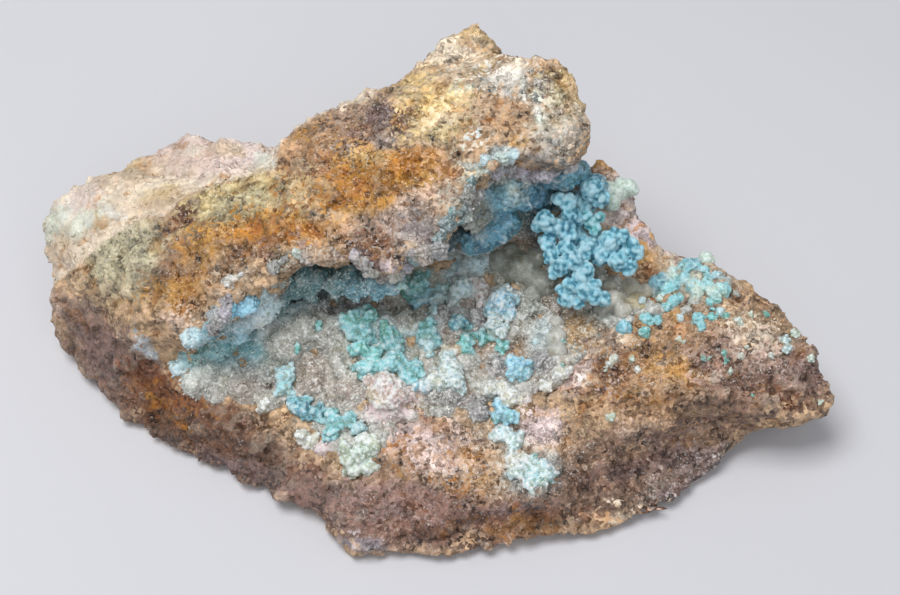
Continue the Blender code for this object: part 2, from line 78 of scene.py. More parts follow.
@dataclass(frozen=True)
class FaceFrame:
    """The sloping face's own frame, in millimetres, within the specimen's, in metres."""

    tilt: float = math.radians(40)
    height: float = 18.0  # of the face frame's origin above the floor
    shift: Spot = (3.1454, -6.8829)  # the plan move that centred the specimen
    sight: float = 190.0  # how far above the face the viewer stands
    sight_plane: float = 3.0  # how proud the plane is that the stains are laid out on

    @property
    def normal(self) -> Vector:
        """The direction in which the face looks."""
        return Vector((0, -math.sin(self.tilt), math.cos(self.tilt)))

    @property
    def slope(self) -> Vector:
        """The direction up the slope."""
        return Vector((0, math.cos(self.tilt), math.sin(self.tilt)))

    def point(self, across: float, up: float, proud: float = 0.0) -> Vector:
        """The point of the specimen, in metres, at a place on the face."""
        base = Vector((across + self.shift[0], self.shift[1], self.height))
        return (base + self.slope * up + self.normal * proud) * MM

    def places(self, points: np.ndarray) -> np.ndarray:
        """The places of many points.

        Args:
            points: Rows of x, y and z in metres.

        Returns:
            Rows of across, up and proud, in millimetres.
        """
        base = np.array((*self.shift, self.height))
        away = points / MM - base
        up = away @ np.array(self.slope)
        proud = away @ np.array(self.normal)
        return np.column_stack((away[:, 0], up, proud))

    def sighted(self, places: np.ndarray) -> np.ndarray:
        """Where the line of sight to each place crosses the plane that the stains are laid out on.

        Args:
            places: Rows of across, up and proud.

        Returns:
            Rows of across and up on that plane.
        """
        scale = (self.sight - self.sight_plane) / (self.sight - places[:, 2])
        return places[:, :2] * scale[:, None]


FACE = FaceFrame()


# ---- Repeatable noise on arrays of points

CELL_PRIMES = (73856093, 19349663, 83492791)
SEED_PRIME = 40503
MIXING = ((13, 1274126177), (15, 73244475), (16, 1))  # how far each pass shifts, and its factor


def lattice(cells: np.ndarray, seed: int) -> np.ndarray:
    """A repeatable random number, 0 to 1, for each whole-number cell.

    Args:
        cells: Rows of three whole numbers.
        seed: Chooses the set of numbers.

    Returns:
        One number for each row.
    """
    whole = cells.astype(np.int64)
    mixed = seed * SEED_PRIME
    for column, prime in enumerate(CELL_PRIMES):
        mixed = mixed ^ (whole[:, column] * prime)
    for shift, factor in MIXING:
        mixed = (mixed ^ (mixed >> shift)) * factor
    return (mixed & 0xFFFFFF) / 0xFFFFFF


def value_noise(points: np.ndarray, size: float, seed: int) -> np.ndarray:
    """Smooth noise, -1 to 1, of one size.

    Args:
        points: Rows of three millimetres.
        size: The size of its swells.
        seed: Chooses the pattern.

    Returns:
        One number for each point.
    """
    scaled = points / size
    base = np.floor(scaled)
    part = scaled - base
    part = part * part * (3 - 2 * part)
    total = np.zeros(len(points))
    for corner in itertools.product((0, 1), repeat=3):
        weight = np.prod(np.where(corner, part, 1 - part), axis=1)
        total += weight * lattice(base + corner, seed)
    return total * 2 - 1


def fractal(points: np.ndarray, size: float, octaves: int, seed: int, fade: float = 0.5) -> np.ndarray:
    """Noise of several sizes, each half the one before.

    Args:
        points: Rows of three millimetres.
        size: The largest size.
        octaves: How many sizes.
        seed: Chooses the pattern.
        fade: How much of the height before each size keeps.

    Returns:
        One number for each point, about -1 to 1.
    """
    total, weight, whole = np.zeros(len(points)), 1.0, 0.0
    for octave in range(octaves):
        total += weight * value_noise(points, size / 2**octave, seed + octave)
        whole += weight
        weight *= fade
    return total / whole


def grains(points: np.ndarray, size: float, seed: int) -> np.ndarray:
    """The heights, about -0.5 to 0.5, of angular grains: every cell is a flat facet with its own tilt.

    Args:
        points: Rows of three millimetres.
        size: The grains' size.
        seed: Chooses the pattern.

    Returns:
        One height for each point.
    """
    scaled = points / size
    base = np.floor(scaled)
    nearest = np.full(len(points), np.inf)
    away, owner = np.zeros_like(points), np.zeros_like(points)
    for corner in itertools.product((-1, 0, 1), repeat=3):
        cell = base + corner
        centre = cell + np.column_stack([lattice(cell, seed + k) for k in range(3)])
        apart = scaled - centre
        distance = (apart * apart).sum(axis=1)
        closer = distance < nearest
        nearest = np.where(closer, distance, nearest)
        away[closer] = apart[closer]
        owner[closer] = cell[closer]
    tilt = np.column_stack([lattice(owner, seed + 3 + k) for k in range(3)]) * 2 - 1
    return (away * tilt).sum(axis=1)


def broken(height: np.ndarray, points: np.ndarray, shards: Sequence[Spot], seed: int) -> np.ndarray:
    """Heights with facets of several sizes added to them.

    Args:
        height: The heights so far, mm.
        points: Rows of three millimetres.
        shards: Size and depth of each kind of facet, mm.
        seed: Chooses the pattern.

    Returns:
        One height for each point, mm.
    """
    for number, (size, depth) in enumerate(shards):
        height = height + depth * grains(points, size, seed + 10 * number)
    return height


def smooth_step(low: float, high: float, value: np.ndarray) -> np.ndarray:
    """0 at low and 1 at high, with an eased change between."""
    t = np.clip((value - low) / (high - low), 0.0, 1.0)
    return t * t * (3 - 2 * t)


# ---- Tones and where they lie


def linear(*parts: int) -> Colour:
    """The scene's own colour for red, green and blue given as 0 to 255 on a screen."""
    shares = (part / 255 for part in parts)
    return tuple(p / 12.92 if p <= 0.04045 else ((p + 0.055) / 1.055) ** 2.4 for p in shares)


class Tone(Enum):
    """The colours of the rock, its stains and the crusts, as they look in plain light."""

    SAND = linear(190, 158, 124)
    CREAM = linear(234, 218, 196)
    PINK = linear(216, 188, 170)
    BLUSH = linear(224, 204, 204)
    TAN = linear(174, 136, 100)
    OLIVE = linear(190, 172, 122)
    STRAW = linear(224, 196, 134)
    OCHRE = linear(188, 138, 60)
    ORANGE = linear(176, 114, 32)
    RUST = linear(124, 74, 44)
    BROWN = linear(104, 70, 46)
    PLUM = linear(112, 92, 90)
    UMBER = linear(74, 54, 44)
    MOSS = linear(190, 184, 154)
    MINT = linear(212, 230, 218)
    FROST = linear(238, 242, 238)
    LILAC = linear(186, 180, 192)
    GREY = linear(152, 148, 148)
    SMOKE = linear(150, 152, 142)
    HAZE = linear(182, 180, 171)
    TAUPE = linear(168, 154, 143)
    ICE = linear(200, 228, 236)
    SKY = linear(168, 222, 250)
    AQUA = linear(146, 208, 216)
    CORAL = linear(134, 190, 206)
    TEAL = linear(112, 170, 190)
    DEEP = linear(70, 118, 142)
    NIGHT = linear(44, 72, 78)
    JADE = linear(128, 200, 196)
    LAGOON = linear(110, 150, 154)
    ROSE = linear(142, 114, 106)
    DUSK = linear(116, 90, 80)


# The tones by their own names, for the tables.
SAND, CREAM, PINK, BLUSH, TAN, OLIVE, STRAW, OCHRE, ORANGE, RUST, BROWN, PLUM, UMBER, MOSS, MINT, FROST, \
    LILAC, GREY, SMOKE, HAZE, TAUPE, ICE, SKY, AQUA, CORAL, TEAL, DEEP, NIGHT, JADE, LAGOON, ROSE, DUSK = \
    Tone


@dataclass(frozen=True)
class Stain:
    """One patch of colour on the face, an ellipse with a ragged edge."""

    tone: Tone
    across: float
    up: float
    reach: float  # half its length, mm
    width: float  # half its width, mm
    turn: float = 0.0  # degrees, anticlockwise from across
    strength: float = 0.85
    edge: Spot = (1.25, 0.55)  # shares of its size where it starts and where it covers fully

    def cover(self, spots: np.ndarray) -> np.ndarray:
        """How much of it shows at each place, 0 to its strength.

        Args:
            spots: Rows of across and up.

        Returns:
            One number for each place.
        """
        angle = math.radians(self.turn)
        x, y = spots[:, 0] - self.across, spots[:, 1] - self.up
        along = (x * math.cos(angle) + y * math.sin(angle)) / self.reach
        aside = (y * math.cos(angle) - x * math.sin(angle)) / self.width
        return self.strength * smooth_step(*self.edge, np.hypot(along, aside))


def stains(rows: Iterable[tuple]) -> list[Stain]:
    """Patches from rows of tone, across, up, reach, width and, if given, turn and strength."""
    return [Stain(*row) for row in rows]


def patches(tone: Tone, rows: Iterable[tuple]) -> list[Stain]:
    """Patches of one tone from rows of the rest."""
    return [Stain(tone, *row) for row in rows]


@dataclass(frozen=True)
class Ball:
    """One rounded growth: its place, its radius and its tone."""

    across: float
    up: float
    radius: float
    proud: Optional[float] = None  # how proud its centre is, or None where it sits on the rock
    tone: Tone = AQUA
    sink: float = 0.1  # share of its radius that it is sunk by
    seen: bool = False  # whether its place is on the stain plane, along the line of sight


def balls(tone: Tone, rows: Iterable[Sequence[float]], sink: float = 0.1, seen: bool = False) -> list[Ball]:
    """Balls of one tone.

    Args:
        tone: The tone of them all.
        rows: Across, up, radius and, if given, proud of each.
        sink: Share of the radius that each is sunk by.
        seen: Whether the places are on the stain plane, along the line of sight.

    Returns:
        The balls.
    """
    return [Ball(*row[:3], row[3] if len(row) > 3 else None, tone, sink, seen) for row in rows]


def seen(tone: Tone, rows: Iterable[Sequence[float]], sink: float = 0.1) -> list[Ball]:
    """Balls of one tone whose places are on the stain plane."""
    return balls(tone, rows, sink, True)


STRAY = 0.3  # share of their spacing that strung balls and lobes stray by


def chain(tones: Sequence[Tone], line: Sequence[Spot], radius: float, step: float, sink: float,
          seed: int) -> list[Ball]:
    """Balls strung along a line on the stain plane, uneven in place, size and tone.

    Args:
        tones: The tones that they take by chance.
        line: The corners of the line, as across and up.
        radius: Their middling radius, mm.
        step: How far apart they are, mm.
        sink: Share of the radius that each is sunk by.
        seed: Chooses their unevenness.

    Returns:
        The balls.
    """
    chance = random.Random(seed)
    made = []
    for (x0, y0), (x1, y1) in zip(line, line[1:]):
        count = max(1, round(math.hypot(x1 - x0, y1 - y0) / step))
        for number in range(count):
            share = (number + chance.uniform(-STRAY, STRAY)) / count
            made.append(Ball(x0 + (x1 - x0) * share + chance.uniform(-0.3, 0.3) * radius,
                             y0 + (y1 - y0) * share + chance.uniform(-0.5, 0.5) * radius,
                             radius * chance.uniform(0.6, 1.3), None, chance.choice(tones), sink, True))
    return made


def lobed(grown: Sequence[Ball], count: int, seed: int) -> list[Ball]:
    """The balls, each with a few smaller lobes of its own tone about it.

    Args:
        grown: The balls.
        count: How many lobes each gets.
        seed: Chooses where they are.

    Returns:
        The balls and their lobes.
    """
    chance = random.Random(seed)
    made = list(grown)
    for ball in grown:
        turn = chance.uniform(0, math.tau)
        for number in range(count):
            angle = turn + math.tau * (number + chance.uniform(-STRAY, STRAY)) / count
            away = ball.radius * chance.uniform(0.7, 1.0)
            made.append(replace(ball, across=ball.across + away * math.cos(angle),
                                up=ball.up + away * math.sin(angle),
                                radius=ball.radius * chance.uniform(0.4, 0.68)))
    return made


# Stains of the pale block behind the ridge, then of the rest of the matrix, painted in this order.
BLOCK_STAINS = stains([
    (BLUSH, -30, 18, 9, 3, 0, 0.8), (SAND, -40, 15.5, 5, 2, 15, 0.5), (SAND, -36, 11.6, 4, 1.5, 30, 0.6),
    (SAND, -49, 7, 3, 4, 30, 0.45), (SAND, -42, 9.5, 4, 1.2, 35, 0.5), (BLUSH, -46, 12, 4, 2, 30, 0.5),
    (STRAW, -41, 17, 3.5, 1.2, 20, 0.6), (STRAW, -36, 13, 2.5, 1.2, 20, 0.45),
    (STRAW, -27.5, 18, 2.5, 1.2, 0, 0.4), (MINT, -49, 9.5, 3, 1.6, 40, 0.55),
    (MINT, -45, 9, 3.5, 1.4, 40, 0.5), (MINT, -23, 17, 1.5, 1.5, 0, 0.5), (MINT, -32, 18, 2, 1, 0, 0.4),
    (FROST, -42, 10, 2.5, 0.8, 20, 0.6), (ROSE, -51, 2, 3, 2, -60, 0.5), (SAND, -32, 17.5, 5, 2.5, 10, 0.4),
])
ROCK_STAINS = stains([
    # the left end of the ledge
    (MOSS, -40, 5.5, 6, 4, 30), (MOSS, -38, 1.5, 4, 2, 30, 0.6), (OLIVE, -27, 11.8, 9, 3, 20),
    (BROWN, -33, 3.5, 6, 3.4, 40, 0.45), (OCHRE, -34.5, 0.5, 4, 2, 30, 0.75),
    (OCHRE, -30, 6.5, 4, 1.8, 30, 0.8), (BROWN, -35, 3, 3, 1.6, 40, 0.6),
    (BROWN, -31.5, 7.6, 3, 1.2, 35, 0.5), (SAND, -25, 7.8, 2.4, 1.2, 20, 0.7),
    (OCHRE, -21, 8.6, 8, 2.6, 8, 0.95), (RUST, -25, 5.8, 4, 1.2, 20, 0.45), (ORANGE, -20.5, 7.8, 7, 1.3, 8),
    (OLIVE, -16, 13.6, 5, 1.2, -10, 0.5), (ORANGE, -33, -1, 2.5, 1.2, 30, 0.7),
    (PLUM, -45, -3, 6, 2.5, -40, 0.7), (ORANGE, -46, -3, 3, 0.7, -40, 0.5),
    (PINK, -50, 0, 2.5, 1.4, -60, 0.7), (PINK, -33, -4, 3, 1.2, -30, 0.8),
    (CREAM, -27, 2.5, 2.5, 1.2, 35, 0.6), (MINT, -21, 4.5, 2, 0.9, 0, 0.6),
    (GREY, -28, -2.5, 2, 1.4, -40, 0.7), (ROSE, -17, 5.5, 3, 1.2, 0, 0.8), (RUST, -22.5, 4.8, 1.8, 1.1, -20),
    (UMBER, -33, 10.2, 1.4, 0.8, 60, 1), (UMBER, -35, 8.6, 1.2, 0.8, 20, 1),
    (RUST, -33.6, 10.2, 3, 1, 45, 0.8), (ORANGE, -28, 14.5, 1.8, 0.6, 15, 0.7),
    # the middle of the ledge, from the crest down to the lip
    (TAN, -16, 18.5, 6, 4, 20), (DUSK, -9.5, 20.6, 5, 1.9, 20), (GREY, -7, 19.6, 3, 1, 20, 0.5),
    (PLUM, -8.6, 23.4, 2.6, 2, 20, 0.95), (PLUM, -14, 22.4, 4, 1, 25, 0.6),
    (CREAM, -13, 25, 6, 0.9, 24, 0.8), (STRAW, -1.5, 22.5, 4.5, 3.2, 30, 0.7), (OLIVE, 0, 21, 3, 2, 20, 0.5),
    (STRAW, -3, 27, 4, 1.6, 35, 0.7), (CREAM, 0, 30, 3.5, 3, 0, 0.7), (STRAW, 3, 31, 3, 3.5, 0, 0.5),
    (CREAM, -0.5, 22.5, 3.4, 1.6, 30, 0.5), (CREAM, 5.5, 22.8, 3, 1.2, 10, 0.55),
    (CREAM, 2, 30.5, 2.6, 2, 0, 0.6), (MOSS, -26, 11.6, 5, 1.6, 20, 0.6),
    (STRAW, 0.5, 24.5, 3.4, 1.4, 15, 0.6), (OLIVE, -1.5, 20.6, 2, 1, 20, 0.5),
    (ORANGE, 2.6, 30.2, 0.8, 1.6, 10, 0.5), (OCHRE, -2, 25.4, 3, 0.7, 30, 0.5),
    (BROWN, 4.4, 21.6, 1.4, 0.8, 30, 0.5), (OCHRE, 6.6, 24.4, 1.4, 0.6, 0, 0.6),
    (OCHRE, -7, 15.5, 8, 3, -5, 0.95), (ORANGE, -11, 13.6, 6, 1.6, -15, 0.75),
    (OCHRE, -13, 11.5, 7, 1.8, 0, 0.9), (ORANGE, -4.8, 16.3, 4, 1.8, 20, 0.9),
    (RUST, -13, 12.2, 4, 1.1, 5, 0.5), (RUST, -20, 8, 4, 0.9, 10, 0.4), (BROWN, -7, 13.2, 4, 0.8, 0, 0.5),
    (RUST, -15.5, 16.2, 3.5, 0.8, 15, 0.45), (STRAW, -9.5, 16.8, 2.6, 0.8, 10, 0.5),
    (CREAM, -16, 10, 2.4, 0.8, 0, 0.5), (MOSS, -19, 11.6, 3, 0.9, 5, 0.5),
    (BROWN, -26.5, 5.2, 2, 1.4, 40, 0.5), (ROSE, -7, 8.6, 7, 2.2, 10, 0.6),
    (PINK, -4, 11.4, 4, 1.4, 20, 0.7), (GREY, -4, 7.6, 4, 1.8, 20, 0.7), (TAN, 2, 19, 3, 1.6, 20, 0.5),
    (ORANGE, -12, 6.8, 3, 0.8, 10, 0.5), (LILAC, -10, 5, 2.5, 1.2, -30, 0.7),
    (LILAC, -6.5, 4, 2, 1.6, 0, 0.7), (BROWN, -8.3, 5.8, 3, 1.8, 10, 0.8),
    (RUST, -8.3, 6.6, 2.4, 1, 10, 0.6), (DUSK, -8, 4.6, 2.4, 1, 0, 0.45), (PINK, -6, 9.8, 3, 1, 10, 0.5),
    (GREY, -2, 6.5, 1.8, 2.2, 60, 0.8), (PLUM, -2.2, 6.6, 1.6, 1.8, 60, 0.5),
    (SMOKE, 0.5, 10.5, 3, 1.2, 60, 0.8), (ROSE, 0.5, 13.5, 2.4, 1.2, 60, 0.5),
    (MINT, 3.5, 15.5, 2.5, 1.1, 45, 0.6), (ICE, 6.5, 18, 2.6, 1.1, 10, 0.6),
    # the nose
    (FROST, 8, 26.8, 4.5, 2.2, 10, 0.6), (HAZE, 9, 26, 2, 1.2, 0, 0.6), (CREAM, 9.5, 29, 3, 1, 10, 0.8),
    (OLIVE, 13.8, 26, 1.5, 2, 0, 0.7), (TAN, 6.5, 23, 4, 1.6, 0, 0.6), (MOSS, 12, 21, 2, 1.6, 0, 0.6),
    (TAN, 14.5, 20.5, 2, 3, 0, 0.6), (OCHRE, 8.8, 19.8, 1.2, 0.9, 0, 0.8),
    (HAZE, 12.5, 20.8, 4, 2.2, 10, 0.55), (CREAM, 14, 22.4, 3, 1.6, 0, 0.6),
    (LAGOON, 12.2, 18.8, 1.6, 0.8, 20, 0.4), (BROWN, 10.6, 20.4, 1.2, 0.6, 40, 0.5),
    (GREY, 12, 16.8, 4, 1.2), (NIGHT, 5.1, 25.4, 0.9, 0.5, 40, 0.8), (NIGHT, 10.9, 25.2, 0.9, 1.2, -30),
    (MINT, 11.5, 22.5, 1.4, 0.7, 0, 0.7), (MINT, 2, 25.8, 2.6, 0.8, 20, 0.5),
    # the right wall of the hollow
    (CREAM, 22.5, 10.5, 6, 3.6, -50, 1), (BLUSH, 22, 11, 5.5, 3.2, -50, 0.8),
    (OCHRE, 20, 16.5, 3, 1, -30, 0.7), (PINK, 19.6, 14.6, 1.2, 1.6, 0, 0.8),
    (BLUSH, 25.5, 7.6, 4, 2.2, -38, 1), (OCHRE, 23.8, 5.4, 1.8, 1.6), (ORANGE, 24.3, 8.9, 0.8, 0.5, 0, 0.95),
    (RUST, 24.2, 3.9, 1.2, 0.6, -30, 0.8), (OCHRE, 26.2, 5.3, 1.5, 0.8, -20, 0.75),
    (BROWN, 23, 3, 1.8, 1, 0, 0.6),
    # the front, left of the hollow; the broad DUSK and ROSE patches here and the broad DUSK patch beneath the
    # arm are partly real colour, partly painted shade on the downward-facing front
    (DUSK, -38, -12, 14, 5, -40, 0.9), (DUSK, -28, -19, 14, 4.5, -20, 0.9),
    (ROSE, -6, -27, 18, 4.6, -6, 0.95), (DUSK, 22, -22, 18, 6, 22, 0.8), (PLUM, -43, -8, 4, 3.4, -40, 0.5),
    (RUST, -36.5, -11.5, 5, 3, -40, 0.95), (RUST, -29, -14.5, 6, 1.4, -20, 0.8),
    (BROWN, -30, -17.5, 11, 2.6, -18, 0.75), (UMBER, -30, -16.8, 9, 0.6, -20, 0.8),
    (UMBER, -33, -18.8, 7, 0.5, -20, 0.7), (BROWN, -36, -15, 8, 1.2, -30, 0.6),
    (UMBER, -22, -21, 6, 0.5, -20, 0.5), (PLUM, -26, -21.5, 7, 1.4, -18, 0.6),
    (RUST, -18, -21.5, 2, 2, 0, 0.6), (SKY, -37.5, -6.5, 1.8, 1, -40, 0.45),
    (UMBER, -33.5, -7.7, 0.8, 0.5, 0, 0.6), (BROWN, -25, -15.5, 5, 1.6, -20, 0.6),
    (BROWN, -36.5, -11.5, 4, 2.4, -40, 0.35), (UMBER, -25, -15.6, 6, 1.6, -20, 0.25),
    (ROSE, -8, -27, 8, 3.4, -12, 0.75), (LILAC, -11, -30.5, 4, 1, -12, 0.7),
    # the front, in the middle
    (BLUSH, -3, -18.5, 8, 4, -10, 0.75), (ORANGE, -2, -16, 2.2, 1, 0, 0.55),
    (OCHRE, 2.5, -19.5, 2.6, 1.4, 0, 0.5), (OCHRE, -6, -20, 2.5, 1.4, 0, 0.5),
    (ORANGE, 2, -24, 3, 1, 0, 0.5), (ORANGE, 9, -15, 1.4, 0.8, 0, 0.8), (BLUSH, 11.5, -16.5, 3, 3),
    (RUST, 8, -28.5, 12, 1.8, 4, 0.6), (OCHRE, 9, -28.8, 8, 1, 4, 0.5), (PLUM, 6, -26.8, 9, 0.7, 8, 0.8),
    (CREAM, 21.5, -27.5, 2.2, 0.8, 0, 0.7), (ICE, 10.5, -22, 3.6, 2.6, 0, 0.6),
    (HAZE, 7, -17.5, 2.4, 2.2, 0, 0.5), (BROWN, -4, -29.5, 14, 1.6, -4, 0.5),
    (DUSK, -16, -24.5, 6, 2.4, -20, 0.6), (RUST, 0, -26.4, 6, 1.2, -4, 0.4),
    (TAUPE, 11, -23, 4, 2.4, 0, 0.5), (BROWN, 8, -28.8, 8, 1, 4, 0.4), (BROWN, -3, -21.5, 3, 1, 10, 0.35),
    (RUST, -1, -16.4, 2.2, 0.9, -20, 0.5), (RUST, 3.4, -18.6, 1.4, 0.8, 20, 0.5),
    # the arm and what hangs beneath it
    (TAN, 22, -10, 9, 5, -10, 0.7), (RUST, 20, -8, 5, 1.8, -25, 0.5), (ROSE, 38, -9, 10, 5, -8, 0.9),
    (TAN, 28, -3, 7, 3.4, 0, 0.6), (BROWN, 24, -12.6, 8, 1.6, -5, 0.5), (BROWN, 40, -12, 5, 1.6, -10, 0.5),
    (HAZE, 31, 1.5, 6, 3.6, -20, 0.5), (MINT, 30, 1.8, 4, 2.4, -20, 0.35), (BLUSH, 15.5, -9, 2.6, 4, 0, 0.6),
    (TAUPE, 19, -5.5, 4, 2, 0, 0.6), (OCHRE, 29, -9.5, 3, 1.6, 0, 0.5), (RUST, 25.5, -7, 2, 1.1, 0, 0.6),
    (PINK, 37, -6.4, 6, 1.8, -10, 0.4), (BROWN, 33, -5.2, 2.4, 1.2, 0, 0.6),
    (OCHRE, 27, -8, 3.4, 2, -10, 0.55), (PLUM, 26.5, -7.4, 1.2, 1.2, 0, 0.6), (TAN, 30, -2, 6, 3, 0, 0.5),
    (CREAM, 38.5, -5, 3, 1.2, -10, 0.7), (BROWN, 38.8, -0.4, 2.4, 1, -50, 0.6),
    (PINK, 38, -8, 2, 1.4, 0, 0.6), (RUST, 42.4, -13.3, 2.6, 0.7, -8, 0.8), (SAND, 24, -11, 4, 1.6, 0, 0.5),
    (PLUM, 37, 0, 1.6, 1.4, 0, 0.5), (ROSE, 45, -9.5, 3, 3.5, 0, 0.6), (BROWN, 46, -14, 3, 1, 0, 0.6),
    (PLUM, 36, -15.5, 10, 1, 6, 0.75), (TAN, 30, -17.5, 10, 1, 12, 0.5), (PLUM, 27, -20.5, 9, 1.4, 14, 0.7),
    (BROWN, 20, -22, 6, 3, 10, 0.45), (LILAC, 31, -23.6, 6, 2.2, 30, 0.7),
    (TAUPE, 28.5, -23.4, 4, 2, 25, 0.8), (DUSK, 30, -23, 5, 1.2, 30, 0.6),
    (DUSK, 30, -23.6, 6, 2.2, 25, 0.5), (FROST, 35, -21.2, 3, 0.6, 38, 0.5), (PLUM, 47, -9, 2, 2.6, 0, 0.45),
    (ORANGE, -13, 12, 3.4, 1.2, 0, 0.6), (PLUM, 30.5, -23.4, 6, 2.2, 25, 0.45),
    (BROWN, 7.5, -28.6, 9, 1.2, 4, 0.35), (PLUM, -26, -21.2, 7, 1.4, -18, 0.4),
    (CREAM, 2, 30, 2.4, 2.2, 0, 0.6), (PLUM, 24, -20.8, 7, 1.4, 12, 0.35), (BROWN, 34, -15, 8, 1.2, 4, 0.3),
    (RUST, 20.5, -10, 3, 1.2, -20, 0.35), (BROWN, 20, -9.6, 3.4, 1.6, -20, 0.5),
    (BROWN, 38, -8.4, 4, 1.4, -8, 0.45), (DUSK, 46.5, -9.5, 3, 3, 0, 0.75), (PLUM, 24, -21, 9, 2, 14, 0.5),
    (DUSK, 34, -14.6, 7, 1.4, 2, 0.45), (BROWN, 24, -20.6, 7, 1, 12, 0.45),
    (CREAM, 33.5, -9.4, 2.4, 0.9, -8, 0.5), (PINK, 23, -16.4, 3, 1, 12, 0.45),
    (UMBER, 30, -13.4, 8, 0.4, 5, 0.6), (UMBER, 25, -16.8, 8, 0.4, 12, 0.55),
    (SAND, 27, -15.2, 6, 0.5, 10, 0.5), (UMBER, 22, -18.6, 7, 0.4, 12, 0.5),
    (SAND, 21, -20.2, 6, 0.5, 12, 0.4), (HAZE, 14.5, 20, 3.6, 4.5, 0, 0.5), (MOSS, 14.6, 24, 2.4, 3, 0, 0.5),
    (STRAW, 15.5, 26.5, 1.4, 2.4, 20, 0.5), (FROST, 11.4, 23.4, 1.2, 0.8, 0, 0.6),
    (CREAM, 18.5, -7.5, 1.4, 0.8, 0, 0.6), (CREAM, 22.5, -6.2, 1.2, 0.8, 30, 0.6),
    (FROST, 16.8, -11, 1.4, 1, 0, 0.5), (BLUSH, 20.5, -12, 2.2, 0.9, 10, 0.55),
    (UMBER, 20.6, -6.6, 1, 0.5, 40, 0.5), (UMBER, 24.6, -9.8, 1.2, 0.4, -20, 0.5),
    (UMBER, 32, -7.2, 1.2, 0.4, 20, 0.5),
])
# Where iron has left orange flecks, and where the rock is frosted with clear sugar.
IRON_STAINS = patches(ORANGE, [
    (-13, 14, 16, 5, 10, 1), (3, 22, 7, 3, 5, 0.8), (12, 22, 4, 4, 0, 0.25), (-30, 5, 9, 6, 30, 0.9),
    (-16, 19.5, 6, 3, 20, 0.8), (-2, -20, 11, 5, -5, 1), (20, -10, 10, 6, -15, 0.9),
    (-34, -13, 9, 4, -30, 0.9), (8, -28, 14, 3, 5, 0.6), (35, -8, 12, 6, -10, 0.6), (-8, 6, 3, 2, 0, 0.9),
    (34, -14, 12, 4, -5, 0.5), (26, -20, 11, 4, 14, 0.5), (-4, -27, 15, 4, -5, 0.5), (25, -5, 8, 6, 0, 0.7),
])
SUGAR_STAINS = patches(FROST, [
    (-42, 12, 18, 9, 15, 0.6), (-12, 6, 16, 3, 5, 1), (8, 27, 7, 4, 10, 1), (3, 14, 5, 3, 45, 1),
    (13, 19.5, 4, 4, 0, 0.9), (-11, 12.5, 13, 5, 0, 0.4), (-30, 6, 8, 5, 30, 0.5), (20, -8, 8, 5, -10, 0.65),
    (-3, -26, 14, 4, -6, 0.4), (26, -18, 10, 3, 14, 0.35), (6, -20, 12, 6, 0, 0.9), (-8, 20, 14, 6, 20, 0.6),
    (30, -24, 8, 4, 25, 0.8), (36, -6, 12, 6, -10, 0.7), (-30, -3, 6, 2.5, -30, 1),
    (-24, -20, 9, 4, -20, 0.15),
])
